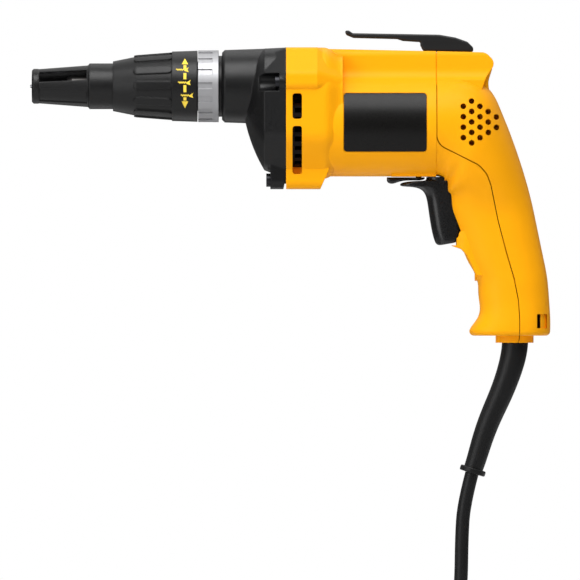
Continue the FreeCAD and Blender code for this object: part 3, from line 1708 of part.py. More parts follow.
def boot_tip():
    """Lower face of the boot's flange and the direction in which the cord leaves."""
    place, way = boot_ways()[-1]
    return place + way * boot_flange_thickness, way


def cord_boot():
    """Tapered rubber sleeve that saves the cord from kinking, with a head inside the grip."""
    ways = boot_ways()
    rings = []
    for index, (place, way) in enumerate(ways):
        radius = boot_top_radius + (boot_end_radius - boot_top_radius) * max(index - 1, 0) / (len(ways) - 2)
        rings.append(Part.Wire(Part.makeCircle(radius, place, way)))
    sleeve = Part.makeLoft(rings, True, False)
    place, way = ways[-1]
    flange = Part.makeCylinder(boot_flange_radius, boot_flange_thickness, place, way)
    flange = softened(flange, boot_flange_thickness / 4,
                      lambda edge: edge.Closed and edge.Length > boot_flange_radius)
    head = Part.makeCylinder(boot_head_radius, boot_head_height, ways[0][0])
    return joined([sleeve, flange, head])


def swept(wire, start, way, diameter):
    """Round tube along a wire."""
    profile = Part.Wire(Part.makeCircle(diameter / 2, start, way))
    return wire.makePipeShell([profile], True, False)


def cord_drop():
    """Free cord from the boot down to the floor, straight runs joined by large arcs."""
    tip, _ = boot_tip()
    places = [tip] + [Vector(*point) for point in cord_route]
    edges = []
    start = tip
    for index in range(1, len(places) - 1):
        back = places[index - 1] - places[index]
        ahead = places[index + 1] - places[index]
        reach = cord_arc_share * min(back.Length, ahead.Length)
        half = back.getAngle(ahead) / 2
        print("cord bend", index, "radius", round(reach * math.tan(half), 1))
        back.normalize()
        ahead.normalize()
        bisector = (back + ahead).normalize()
        first = places[index] + back * reach
        last = places[index] + ahead * reach
        middle = places[index] + bisector * (reach / math.cos(half) - reach * math.tan(half))
        edges.append(Part.LineSegment(start, first).toShape())
        edges.append(Part.Arc(first, middle, last).toShape())
        start = last
    edges.append(Part.LineSegment(start, places[-1]).toShape())
    wire = Part.Wire(edges)
    cord = swept(wire, tip, places[1] - tip, cord_diameter)
    section = math.pi * cord_diameter ** 2 / 4
    print("cord drop length", round(wire.Length, 1), "volume share",
          round(cord.Volume / (section * wire.Length), 4))
    return cord


def tangent_arc(start, way, end):
    """Arc that leaves a point in a given direction and ends at another point."""
    chord = end - start
    length = chord.Length
    chord.normalize()
    bulge = way - chord * way.dot(chord)
    if bulge.Length < running_gap / length:
        return Part.LineSegment(start, end).toShape()
    lean = way.getAngle(chord)
    bulge.normalize()
    middle = (start + end) * (1 / 2) + bulge * (length / 2 * math.tan(lean / 2))
    return Part.Arc(start, middle, end).toShape()


def biarc(start, start_way, end, end_way):
    """Two tangent arcs between two points with given directions."""
    gap = end - start
    both = start_way + end_way
    turn = 2 * (1 - start_way.dot(end_way))
    drop = gap.dot(both)
    reach = (math.sqrt(drop ** 2 + turn * gap.dot(gap)) - drop) / turn
    middle = (start + end + (start_way - end_way) * reach) * (1 / 2)
    first = tangent_arc(start, start_way, middle)
    second = tangent_arc(end, end_way * -1, middle)
    return [first, second]


def arcs_through(places):
    """Wire of arcs through places with given directions."""
    edges = []
    for (place, way), (following, following_way) in zip(places, places[1:]):
        edges += biarc(place, way, following, following_way)
    return Part.Wire(Part.__sortEdges__(edges))


def coil_turns():
    """Total turns of the coil, in and out again."""
    return 2 * coil_spiral_turn_count + coil_climb_turn_count


def coil_outer_radius():
    """Middle radius of the outermost turn."""
    return coil_inner_radius + coil_pitch * coil_spiral_turn_count


def coil_centre():
    """Middle of the coil on the floor, one diameter past the end of the free cord."""
    return Vector(*cord_route[-1]) + Vector(-cord_diameter, coil_outer_radius(), 0)


def coil_place(turns):
    """Place on the coil's middle line after a number of turns."""
    inward = min(turns, coil_spiral_turn_count)
    climb = min(max(turns - coil_spiral_turn_count, 0.0), coil_climb_turn_count) / coil_climb_turn_count
    outward = max(turns - coil_spiral_turn_count - coil_climb_turn_count, 0.0)
    radius = coil_outer_radius() - coil_pitch * (inward - outward)
    radius -= coil_pitch * coil_climb_turn_count / math.pi * math.sin(math.pi * climb)
    rise = coil_pitch * (1 - math.cos(math.pi * climb)) / 2
    angle = -math.pi / 2 - 2 * math.pi * turns
    return coil_centre() + Vector(radius * math.cos(angle), radius * math.sin(angle), rise)


def coil_way(turns):
    """Direction of the coil's middle line after a number of turns."""
    return (coil_place(turns + coil_way_step) - coil_place(turns - coil_way_step)).normalize()


def coil_points():
    """Quarter-turn places on the coil, with straight ends along X."""
    turns = [index / quarter_count for index in range(round(quarter_count * coil_turns()) + 1)]
    places = [(coil_place(turn), coil_way(turn)) for turn in turns]
    places[0] = (places[0][0], along * -1)
    places[-1] = (places[-1][0], along * -1)
    return places


def cord_coil():
    """Rest of the cord, wound in two layers that lie on the floor."""
    points = coil_points()
    start = points[0][0] + along * cord_diameter
    end = plug_start()
    edges = [Part.LineSegment(start, points[0][0]).toShape()]
    edges += arcs_through(points).Edges
    edges.append(Part.LineSegment(points[-1][0], end).toShape())
    wire = Part.Wire(Part.__sortEdges__(edges))
    print("cord coil length", round(wire.Length, 1), "least gap to itself", round(coil_gap_to_itself(), 2))
    coil = swept(wire, start, along * -1, cord_diameter)
    section = math.pi * cord_diameter ** 2 / 4
    print("cord coil volume share", round(coil.Volume / (section * wire.Length), 4))
    return coil


def coil_gap_to_itself():
    """Least distance between turns that aren't neighbours along the cord, less the cord's diameter."""
    step_count = round(coil_turns() * coil_check_count)
    places = [coil_place(coil_turns() * index / step_count) for index in range(step_count + 1)]
    least = coil_outer_radius()
    for index, place in enumerate(places):
        for other in places[index + coil_check_count // 2:]:
            least = min(least, (place - other).Length)
    return least - cord_diameter


def cord_tie():
    """Flat strap round the coil's bundle."""
    centre = coil_centre()
    inner = coil_inner_radius - cord_diameter / 2 - tie_gap
    outer = coil_outer_radius() - coil_pitch / 4 + cord_diameter / 2 + tie_gap
    low = -cord_diameter / 2 - tie_gap
    high = coil_pitch + cord_diameter / 2 + tie_gap

    def ring(grow):
        points = [(inner - grow, low - grow), (outer + grow, low - grow), (outer + grow, high + grow),
                  (inner - grow, high + grow)]
        places = lambda point: centre + Vector(point.x, -tie_width / 2, point.y)
        return Part.Face(outline(points, cord_diameter / 2 * corner_share + grow,
                                 places)).extrude(across * tie_width)

    return ring(tie_thickness).cut(ring(0.0))


def plug_start():
    """End of the coil's cord, where the plug's neck begins."""
    return coil_points()[-1][0] - along * coil_tail_length


def plug_body():
    """Moulded two-pin plug with a tapered neck."""
    start = plug_start()
    neck = Part.makeCone(plug_neck_radius, plug_neck_radius + cord_diameter / 4, plug_neck_length, start,
                         along * -1)
    rear_x = start.x - plug_neck_length
    body = block((rear_x - plug_length, start.y - plug_half_width, start.z - plug_height / 2),
                 (rear_x, start.y + plug_half_width, start.z + plug_height / 2))
    face_x = rear_x - plug_length + running_gap
    body = softened(body, plug_edge_radius, lambda edge: edge.BoundBox.XMax > face_x)
    return joined([body, neck]).cut(Part.makeCompound(blade_boxes(overrun)))


def blade_boxes(root):
    """Two flat blades, with a root inside the plug."""
    start = plug_start()
    face_x = start.x - plug_neck_length - plug_length
    blades = []
    for side in (1, -1):
        height = start.z + side * blade_spacing / 2
        blades.append(block((face_x - blade_length, start.y - blade_width / 2, height - blade_thickness / 2),
                            (face_x + root, start.y + blade_width / 2, height + blade_thickness / 2)))
    return blades


def plug_blades():
    """The plug's two blades."""
    return Part.makeCompound(blade_boxes(overrun))


def cord_end():
    """End of the cord inside the grip, from the boot up through the clamp."""
    x, height = boot_route[0]
    return Part.makeCylinder(cord_diameter / 2, cord_end_length, Vector(x, 0, height + boot_head_height))


def clamp_screw_holes():
    """Holes for the clamp's screws."""
    x = boot_route[0][0] + clamp_depth - clamp_screw_length
    height = heel_height + clamp_rise + clamp_height / 2
    return [bar(clamp_screw_radius, x, x + clamp_screw_length, height, side * clamp_screw_side)
            for side in (1, -1)]


def cord_clamp():
    """Bar that presses the cord against the saddle in the grip."""
    x = boot_route[0][0]
    low = heel_height + clamp_rise
    bar_block = block((x + running_gap, -clamp_half_width, low),
                      (x + clamp_depth, clamp_half_width, low + clamp_height))
    bar_block = bar_block.cut(Part.makeCylinder(cord_diameter / 2, grip_length, Vector(x, 0, heel_height)))
    return bar_block.cut(Part.makeCompound(clamp_screw_holes()))


def cord_clamp_screws():
    """Two small screws through the clamp."""
    x = boot_route[0][0] + clamp_depth
    height = heel_height + clamp_rise + clamp_height / 2
    screws = []
    for shank, side in zip(clamp_screw_holes(), (1, -1)):
        head = bar(clamp_screw_head_radius, x, x + clamp_screw_head_length, height, side * clamp_screw_side)
        screws.append(joined([shank, head]))
    return Part.makeCompound(screws)


def pieces():
    """Every piece by its name."""
    front_outer, front_inner, front_balls = front_bearing()
    rear_outer, rear_inner, rear_balls = rear_bearing()
    makers = [
        motor_housing, handle_cover, handle_screw, name_plates, gear_case, gear_case_screws, bearing_plate,
        spindle_front_bush, spindle_rear_bush, detent_ring, belt_hook, belt_hook_screws,
        fan_shroud, fan_baffle,
        field_stack, field_coils, brush_holders, carbon_brushes, brush_springs, switch_body,
        cord_clamp, cord_clamp_screws, cord_end, cord_boot, cord_drop, cord_coil, cord_tie,
        plug_body, plug_blades,
        armature_shaft, armature_core, armature_winding, commutator, cooling_fan, motor_pinion,
        drive_gear, clutch_spring, spindle, bit_holder, bit_magnet, driver_bit,
        locator_sleeve, depth_collar, nosepiece, trigger, switch_plunger, reverse_lever,
    ]
    for maker in makers:
        yield maker.__name__, maker()
    yield "front_bearing_outer_ring", front_outer
    yield "front_bearing_inner_ring", front_inner
    yield "front_bearing_balls", front_balls
    yield "rear_bearing_outer_ring", rear_outer
    yield "rear_bearing_inner_ring", rear_inner
    yield "rear_bearing_balls", rear_balls


os.makedirs("parts", exist_ok=True)
for name, shape in pieces():
    print(name, shape.ShapeType, len(shape.Solids), shape.isValid(), round(shape.Volume))
    shape.exportStep("parts/" + name + ".step")
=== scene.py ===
"""Looks of a drywall screwdriver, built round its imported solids, in metres."""

import logging
import math
from dataclasses import dataclass, field
from enum import Enum
from typing import Callable, ClassVar, Protocol, Sequence

import bmesh
import bpy
from mathutils import Matrix, Vector


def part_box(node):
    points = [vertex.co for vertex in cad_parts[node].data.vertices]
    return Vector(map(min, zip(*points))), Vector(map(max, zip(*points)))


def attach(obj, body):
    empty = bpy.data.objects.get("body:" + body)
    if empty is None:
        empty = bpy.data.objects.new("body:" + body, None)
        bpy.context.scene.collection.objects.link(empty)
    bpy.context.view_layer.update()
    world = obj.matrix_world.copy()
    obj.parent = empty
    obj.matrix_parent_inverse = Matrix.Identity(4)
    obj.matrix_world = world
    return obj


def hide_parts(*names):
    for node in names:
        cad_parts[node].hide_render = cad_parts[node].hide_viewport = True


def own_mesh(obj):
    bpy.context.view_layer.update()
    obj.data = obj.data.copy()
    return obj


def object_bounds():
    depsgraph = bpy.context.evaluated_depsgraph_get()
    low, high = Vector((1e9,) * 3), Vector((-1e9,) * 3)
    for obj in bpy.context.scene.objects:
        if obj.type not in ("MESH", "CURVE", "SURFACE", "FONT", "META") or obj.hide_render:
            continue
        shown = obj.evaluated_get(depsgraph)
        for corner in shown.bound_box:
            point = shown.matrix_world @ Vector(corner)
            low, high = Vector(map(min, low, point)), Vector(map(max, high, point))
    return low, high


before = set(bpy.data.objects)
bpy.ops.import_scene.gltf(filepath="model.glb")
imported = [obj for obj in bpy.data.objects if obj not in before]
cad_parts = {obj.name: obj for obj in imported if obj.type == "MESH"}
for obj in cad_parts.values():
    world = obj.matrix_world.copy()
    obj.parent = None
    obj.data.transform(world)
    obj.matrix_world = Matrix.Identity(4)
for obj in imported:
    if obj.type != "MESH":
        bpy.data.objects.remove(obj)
cad_low, cad_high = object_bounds()

log = logging.getLogger("drywall_screwdriver")

Tone = tuple[float, float, float]
Point = tuple[float, float, float]
Flat = tuple[float, float]
Socket = bpy.types.NodeSocket
Masks = tuple[Socket, Socket]

SPINDLE_HEIGHT = 0.0966  # the axis that the collar, the spindle and the gear share
ROUNDING = 2  # levels of a rounded piece, on the screen and in a render
EDGE_SAMPLES = 4  # rays that look for an edge to soften
MIX_FIRST, MIX_SECOND, MIX_RESULT = 6, 7, 2  # the colour sockets of a Mix node


def screen(red: int, green: int, blue: int) -> Tone:
    """Turn a screen's colour, 0 to 255 a channel, by the sRGB curve into a shader's light."""
    shares = (value / 255 for value in (red, green, blue))
    return tuple(s / 12.92 if s <= 0.04045 else ((s + 0.055) / 1.055) ** 2.4 for s in shares)


class NodeSheet:
    """A node tree that is being drawn, with short calls for its nodes and joins."""

    def __init__(self, tree: bpy.types.NodeTree) -> None:
        """Take the tree to draw on."""
        self.tree = tree

    def add(self, kind: str, **settings: object) -> bpy.types.Node:
        """Place one node.

        Args:
            kind: The node's type.
            settings: Values for the node's own properties.

        Returns:
            The new node.
        """
        node = self.tree.nodes.new(kind)
        for key, value in settings.items():
            setattr(node, key, value)
        return node

    def feed(self, socket: Socket, value: object) -> None:
        """Join an output to a socket, or set the socket's own value.

        Args:
            socket: The input to feed.
            value: An output socket, a number or a tuple.
        """
        if isinstance(value, Socket):
            self.tree.links.new(value, socket)
        elif isinstance(value, tuple) and socket.type == "RGBA":
            socket.default_value = (*value, 1.0)
        else:
            socket.default_value = value

    def sum(self, operation: str, *terms: object) -> Socket:
        """Work out one step of arithmetic.

        Args:
            operation: The Math node's operation.
            terms: Outputs or numbers, in order.

        Returns:
            The result's socket.
        """
        node = self.add("ShaderNodeMath", operation=operation)
        for socket, term in zip(node.inputs, terms):
            self.feed(socket, term)
        return node.outputs[0]

    def ease(self, value: object, low: float, high: float) -> Socket:
        """Map a value onto 0 to 1 with soft ends.

        Args:
            value: The output to map.
            low: The value that gives 0.
            high: The value that gives 1.

        Returns:
            The mapped socket.
        """
        node = self.add("ShaderNodeMapRange", interpolation_type="SMOOTHSTEP")
        self.feed(node.inputs["Value"], value)
        self.feed(node.inputs["From Min"], low)
        self.feed(node.inputs["From Max"], high)
        return node.outputs[0]

    def blend(self, share: object, first: object, second: object) -> Socket:
        """Mix two colours.

        Args:
            share: How much of the second colour.
            first: The first colour.
            second: The second colour.

        Returns:
            The mixed colour's socket.
        """
        node = self.add("ShaderNodeMix", data_type="RGBA")
        self.feed(node.inputs[0], share)
        self.feed(node.inputs[MIX_FIRST], first)
        self.feed(node.inputs[MIX_SECOND], second)
        return node.outputs[MIX_RESULT]

    def noise(self, place: object, scale: object, detail: float = 2.0) -> Socket:
        """Draw a cloud of noise.

        Args:
            place: The coordinates that it is read at.
            scale: Clouds to a metre.
            detail: How many finer layers it has.

        Returns:
            The noise, about 0.5.
        """
        node = self.add("ShaderNodeTexNoise")
        self.feed(node.inputs["Vector"], place)
        self.feed(node.inputs["Scale"], scale)
        self.feed(node.inputs["Detail"], detail)
        return node.outputs[0]

    def stretch(self, place: object, scale: Point) -> Socket:
        """Scale coordinates by another amount along each axis.

        Args:
            place: The coordinates.
            scale: The three scales.

        Returns:
            The scaled coordinates.
        """
        node = self.add("ShaderNodeVectorMath", operation="MULTIPLY")
        self.feed(node.inputs[0], place)
        node.inputs[1].default_value = scale
        return node.outputs[0]


class Skin(Enum):
    """The ways in which a surface is made, each with a node group of its own."""

    MOULDED = "moulded skin"
    TURNED = "turned skin"
    DRAWN = "drawn skin"
    WOUND = "wound skin"
    STACKED = "stacked skin"


class SkinGroup:
    """The shader node groups that the finishes share."""

    inputs: ClassVar[tuple[tuple[str, str], ...]] = (
        ("Place", "NodeSocketVector"),
        ("Tone", "NodeSocketColor"),
        ("Shade", "NodeSocketColor"),
        ("Roughness", "NodeSocketFloat"),
        ("Grain", "NodeSocketFloat"),
        ("Spread", "NodeSocketFloat"),
    )
    outputs: ClassVar[tuple[tuple[str, str], ...]] = (
        ("Color", "NodeSocketColor"),
        ("Roughness", "NodeSocketFloat"),
        ("Height", "NodeSocketFloat"),
    )
    cloud_scale: ClassVar[float] = 38.0
    cloud_detail: ClassVar[float] = 3.0
    cloud_tint: ClassVar[float] = 0.45
    coarse_tint: ClassVar[float] = 0.55
    fine_dulling: ClassVar[float] = 0.16
    cloud_dulling: ClassVar[float] = 0.12
    mean_dulling: ClassVar[float] = 0.14
    coarse_height: ClassVar[float] = 0.35
    flow_stretch: ClassVar[Point] = (0.5, 1.0, 1.6)
    flow_scale: ClassVar[float] = 90.0
    spark_limits: ClassVar[Flat] = (0.3, 0.72)
    ring_stretch: ClassVar[Point] = (1.0, 0.012, 0.012)
    broad_ring: ClassVar[float] = 0.22
    stain_stretch: ClassVar[Point] = (0.2, 1.0, 1.0)
    stain_scale: ClassVar[float] = 160.0
    stain_detail: ClassVar[float] = 3.0
    scratch_stretch: ClassVar[Point] = (0.03, 1.0, 1.0)
    wire_waves: ClassVar[float] = 0.18
    wire_wander: ClassVar[float] = 1.4
    wire_tint: ClassVar[float] = 0.3
    sheet_waves: ClassVar[float] = 0.314
    sheet_stretch: ClassVar[Point] = (1.0, 0.02, 0.02)
    plain_detail: ClassVar[float] = 1.0

    def __init__(self, skin: Skin) -> None:
        """Take the skin that the group draws."""
        self.skin = skin

    def tree(self) -> bpy.types.NodeTree:
        """Give the group, drawn on the first call and kept for the next.

        Returns:
            The node group.
        """
        known = bpy.data.node_groups.get(self.skin.value)
        if known:
            return known
        tree = bpy.data.node_groups.new(self.skin.value, "ShaderNodeTree")
        for name, kind in self.inputs:
            tree.interface.new_socket(name=name, in_out="INPUT", socket_type=kind)
        for name, kind in self.outputs:
            tree.interface.new_socket(name=name, in_out="OUTPUT", socket_type=kind)
        sheet = NodeSheet(tree)
        given = sheet.add("NodeGroupInput")
        made = sheet.add("NodeGroupOutput")
        coarse, fine = self.pattern(sheet, given.outputs["Place"], given.outputs["Grain"])
        cloud = sheet.noise(given.outputs["Place"], self.cloud_scale, self.cloud_detail)
        tint = sheet.sum("MULTIPLY", coarse, self.coarse_tint)
        mixed = sheet.sum("MULTIPLY_ADD", cloud, self.cloud_tint, tint)
        share = sheet.sum("MULTIPLY", mixed, given.outputs["Spread"])
        sheet.feed(
            made.inputs["Color"],
            sheet.blend(share, given.outputs["Tone"], given.outputs["Shade"]),
        )
        dulled = sheet.sum("MULTIPLY", cloud, self.cloud_dulling)
        uneven = sheet.sum("MULTIPLY_ADD", fine, self.fine_dulling, dulled)
        change = sheet.sum("SUBTRACT", uneven, self.mean_dulling)
        rough = sheet.sum("ADD", given.outputs["Roughness"], change)
        sheet.feed(made.inputs["Roughness"], rough)
        height = sheet.sum("MULTIPLY_ADD", coarse, self.coarse_height, fine)
        sheet.feed(made.inputs["Height"], height)
        return tree

    def pattern(self, sheet: NodeSheet, place: Socket, grain: Socket) -> Masks:
        """Draw what tells one skin from another.

        Args:
            sheet: The group being drawn.
            place: The coordinates.
            grain: Grains or lines to a metre.

        Returns:
            A coarse and a fine mask.
        """
        makers: dict[Skin, Callable[[NodeSheet, Socket, Socket], Masks]] = {
            Skin.MOULDED: self.moulded,
            Skin.TURNED: self.turned,
            Skin.DRAWN: self.drawn,
            Skin.WOUND: self.wound,
            Skin.STACKED: self.stacked,
        }
        return makers[self.skin](sheet, place, grain)

    def moulded(self, sheet: NodeSheet, place: Socket, grain: Socket) -> Masks:
        """Draw the spark grain of a mould, with slow flow marks under it.

        Args:
            sheet: The group being drawn.
            place: The coordinates.
            grain: Grains to a metre.

        Returns:
            The flow marks and the grain.
        """
        flow = sheet.noise(sheet.stretch(place, self.flow_stretch), self.flow_scale)
        spark = sheet.noise(place, grain)
        return flow, sheet.ease(spark, *self.spark_limits)

    def turned(self, sheet: NodeSheet, place: Socket, grain: Socket) -> Masks:
        """Draw the fine rings that a lathe leaves round the X axis.

        Args:
            sheet: The group being drawn.
            place: The coordinates.
            grain: Rings to a metre.

        Returns:
            Broad and fine rings.
        """
        ringed = sheet.stretch(place, self.ring_stretch)
        scale = sheet.sum("MULTIPLY", grain, self.broad_ring)
        broad = sheet.noise(ringed, scale, self.plain_detail)
        return broad, sheet.noise(ringed, grain)

    def drawn(self, sheet: NodeSheet, place: Socket, grain: Socket) -> Masks:
        """Draw the long scratches of a drawn or brushed metal, along the X axis.

        Args:
            sheet: The group being drawn.
            place: The coordinates.
            grain: Scratches to a metre.

        Returns:
            Long stains and fine scratches.
        """
        along = sheet.stretch(place, self.stain_stretch)
        stain = sheet.noise(along, self.stain_scale, self.stain_detail)
        scratch = sheet.noise(sheet.stretch(place, self.scratch_stretch), grain)
        return stain, scratch

    def wound(self, sheet: NodeSheet, place: Socket, grain: Socket) -> Masks:
        """Draw lacquered wires laid side by side, a little unevenly.

        Args:
            sheet: The group being drawn.
            place: The coordinates.
            grain: Wires to a metre.

        Returns:
            The tint from wire to wire and the wires' roundness.
        """
        wires = sheet.add("ShaderNodeTexWave", bands_direction="DIAGONAL")
        sheet.feed(wires.inputs["Vector"], place)
        sheet.feed(wires.inputs["Scale"], sheet.sum("MULTIPLY", grain, self.wire_waves))
        sheet.feed(wires.inputs["Distortion"], self.wire_wander)
        tint = sheet.noise(place, sheet.sum("MULTIPLY", grain, self.wire_tint))
        return tint, wires.outputs[1]

    def stacked(self, sheet: NodeSheet, place: Socket, grain: Socket) -> Masks:
        """Draw the edges of thin sheets stacked along the X axis.

        Args:
            sheet: The group being drawn.
            place: The coordinates.
            grain: Sheets to a metre.

        Returns:
            The tint of the sheets and the gaps between them.
        """
        gaps = sheet.add("ShaderNodeTexWave", bands_direction="X")
        sheet.feed(gaps.inputs["Vector"], place)
        sheet.feed(gaps.inputs["Scale"], sheet.sum("MULTIPLY", grain, self.sheet_waves))
        tint = sheet.noise(sheet.stretch(place, self.sheet_stretch), grain, self.plain_detail)
        return tint, gaps.outputs[1]


@dataclass(frozen=True)
class Finish:
    """One surface finish: how it is made, its colours, its gloss and its grain."""

    name: str
    slot: str
    skin: Skin
    tone: Tone
    shade: Tone
    roughness: float
    grain: float
    relief: float
    spread: float = 0.5
    metallic: float = 0.0
    specular: float = 0.5
    glint: float = 1.0
    coat: float = 0.0
    coat_roughness: float = 0.2
    edge: float = 0.0

    def material(self) -> bpy.types.Material:
        """Give the finish's material, made on the first call.

        Returns:
            The material.
        """
        known = bpy.data.materials.get(self.name)
        if known:
            return known
        material = bpy.data.materials.new(self.name)
        material.use_nodes = True
        sheet = NodeSheet(material.node_tree)
        shader = material.node_tree.nodes["Principled BSDF"]
        place = sheet.add("ShaderNodeTexCoord").outputs["Object"]
        group = sheet.add("ShaderNodeGroup", node_tree=SkinGroup(self.skin).tree())
        given = {
            "Place": place, "Tone": self.tone, "Shade": self.shade,
            "Roughness": self.roughness, "Grain": self.grain, "Spread": self.spread,
        }
        for name, value in given.items():
            sheet.feed(group.inputs[name], value)
        sheet.feed(shader.inputs["Base Color"], group.outputs["Color"])
        sheet.feed(shader.inputs["Roughness"], group.outputs["Roughness"])
        bump = sheet.add("ShaderNodeBump")
        sheet.feed(bump.inputs["Height"], group.outputs["Height"])
        sheet.feed(bump.inputs["Distance"], self.relief)
        sheet.feed(bump.inputs["Strength"], 1.0)
        if self.edge:
            soft = sheet.add("ShaderNodeBevel", samples=EDGE_SAMPLES)
            sheet.feed(soft.inputs["Radius"], self.edge)
            sheet.feed(bump.inputs["Normal"], soft.outputs[0])
        sheet.feed(shader.inputs["Normal"], bump.outputs[0])
        plain = {
            "Metallic": self.metallic,
            "Specular IOR Level": self.specular,
            "Specular Tint": (self.glint, self.glint, self.glint),
            "Coat Weight": self.coat,
            "Coat Roughness": self.coat_roughness,
        }
        for name, value in plain.items():
            sheet.feed(shader.inputs[name], value)
        return material


HOUSING_YELLOW = Finish(
    "housing yellow", "housing_yellow", Skin.MOULDED,
    tone=(0.975, 0.405, 0.0030), shade=(0.945, 0.370, 0.0026),
    roughness=0.44, grain=2600.0, relief=0.00001,
    specular=0.28, glint=0.28, edge=0.0007,
)
CASE_BLACK = Finish(
    "case black", "case_black", Skin.MOULDED,
    tone=(0.0036, 0.0036, 0.0039), shade=(0.0024, 0.0024, 0.0026),
    roughness=0.36, grain=2200.0, relief=0.00002,
    specular=0.80, glint=0.34, edge=0.0012,
)
NOSE_BLACK = Finish(
    "nose black", "nose_black", Skin.MOULDED,
    tone=(0.0040, 0.0040, 0.0042), shade=(0.0026, 0.0026, 0.0028),
    roughness=0.36, grain=2400.0, relief=0.00002,
    specular=0.80, glint=0.34, edge=0.0010,
)
CONTROL_BLACK = Finish(
    "control black", "control_black", Skin.MOULDED,
    tone=(0.0034, 0.0034, 0.0036), shade=(0.0022, 0.0022, 0.0024),
    roughness=0.30, grain=2600.0, relief=0.000006,
    specular=0.80, glint=0.55,
)
HOOK_BLACK = Finish(
    "hook black", "hook_black", Skin.DRAWN,
    tone=(0.0130, 0.0130, 0.0132), shade=(0.0080, 0.0080, 0.0082),
    roughness=0.40, grain=2200.0, relief=0.00001,
    specular=0.50, glint=0.44, edge=0.0003,
)
PLATE_BLACK = Finish(
    "plate black", "plate_black", Skin.MOULDED,
    tone=(0.0040, 0.0037, 0.0034), shade=(0.0030, 0.0028, 0.0026),
    roughness=0.34, grain=3000.0, relief=0.000004,
    specular=0.42, glint=0.4, edge=0.0003,
)
RING_SILVER = Finish(
    "ring silver", "ring_silver", Skin.TURNED,
    tone=screen(170, 170, 172), shade=screen(148, 148, 151),
    roughness=0.54, grain=2600.0, relief=0.000003, metallic=1.0,
    edge=0.0004,
)
SCREW_STEEL = Finish(
    "screw steel", "screw_steel", Skin.TURNED,
    tone=screen(52, 52, 55), shade=screen(34, 34, 37),
    roughness=0.38, grain=2400.0, relief=0.00001, metallic=1.0,
)
TOOL_STEEL = Finish(
    "tool steel", "tool_steel", Skin.TURNED,
    tone=screen(150, 150, 154), shade=screen(112, 112, 118),
    roughness=0.26, grain=3200.0, relief=0.000008, metallic=1.0,
)
# Black oxide lightened well past its own colour as painted light, because the bit holder sits in
# shade inside the nose.
TOOL_BLACK_PAINTED_LIGHT = Finish(
    "black oxide with painted light", "tool_steel", Skin.TURNED,
    tone=screen(118, 115, 113), shade=screen(86, 84, 82),
    roughness=0.42, grain=2800.0, relief=0.000008, metallic=1.0,
)
BEARING_STEEL = Finish(
    "bearing steel", "bearing_steel", Skin.TURNED,
    tone=screen(206, 208, 212), shade=screen(176, 178, 184),
    roughness=0.16, grain=4200.0, relief=0.000004, metallic=1.0,
)
SPRING_STEEL = Finish(
    "spring steel", "spring_steel", Skin.DRAWN,
    tone=screen(150, 152, 158), shade=screen(104, 106, 112),
    roughness=0.30, grain=2600.0, relief=0.000008, metallic=1.0,
)
BRONZE = Finish(
    "sintered bronze", "bronze", Skin.MOULDED,
    tone=screen(186, 136, 76), shade=screen(140, 96, 50),
    roughness=0.42, grain=3200.0, relief=0.00002, metallic=1.0,
)
PLATE_ALLOY = Finish(
    "plate alloy", "plate_alloy", Skin.MOULDED,
    tone=screen(176, 178, 182), shade=screen(140, 142, 148),
    roughness=0.48, grain=1900.0, relief=0.00003, metallic=1.0,
)
LAMINATION = Finish(
    "lamination", "lamination", Skin.STACKED,
    tone=screen(112, 112, 116), shade=screen(66, 66, 72),
    roughness=0.42, grain=1800.0, relief=0.00006, metallic=1.0,
)
COPPER = Finish(
    "lacquered copper", "copper", Skin.WOUND,
    tone=screen(196, 110, 58), shade=screen(120, 52, 24),
    roughness=0.30, grain=1500.0, relief=0.0001, metallic=1.0, coat=0.4,
)
CARBON = Finish(
    "carbon", "carbon", Skin.MOULDED,
    tone=screen(38, 38, 40), shade=screen(20, 20, 22),
    roughness=0.60, grain=3000.0, relief=0.00003,
)
INNER_PLASTIC = Finish(
    "inner plastic", "inner_plastic", Skin.MOULDED,
    tone=(0.0070, 0.0070, 0.0072), shade=(0.0044, 0.0044, 0.0046),
    roughness=0.46, grain=2000.0, relief=0.00002,
    specular=0.20, glint=0.4,
)
CORD_RUBBER = Finish(
    "cord rubber", "cord_rubber", Skin.MOULDED,
    tone=(0.0066, 0.0066, 0.0068), shade=(0.0044, 0.0044, 0.0046),
    roughness=0.40, grain=3200.0, relief=0.00002,
    specular=0.50, glint=0.4,
)
TIE_BLACK = Finish(
    "tie black", "tie_black", Skin.MOULDED,
    tone=(0.0120, 0.0120, 0.0122), shade=(0.0080, 0.0080, 0.0082),
    roughness=0.38, grain=2600.0, relief=0.00001,
    specular=0.50, glint=0.4,
)
BLADE_BRASS = Finish(
    "blade brass", "blade_brass", Skin.DRAWN,
    tone=screen(214, 186, 112), shade=screen(176, 146, 78),
    roughness=0.24, grain=3000.0, relief=0.000006, metallic=1.0,
)
MARK_YELLOW = Finish(
    "mark yellow", "nose_black", Skin.MOULDED,
    tone=screen(250, 222, 84), shade=screen(236, 192, 60),
    roughness=0.42, grain=2600.0, relief=0.000006,
    specular=0.25, glint=0.4,
)


def dress(finish: Finish, *nodes: str) -> list[str]:
    """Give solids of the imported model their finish.

    Args:
        finish: The finish.
        nodes: The solids' names.

    Returns:
        The names that were dressed.
    """
    for node in nodes:
        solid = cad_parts[node]
        if not solid.material_slots:
            solid.data.materials.append(None)
        for slot in solid.material_slots:
            slot.material = finish.material()
    return list(nodes)


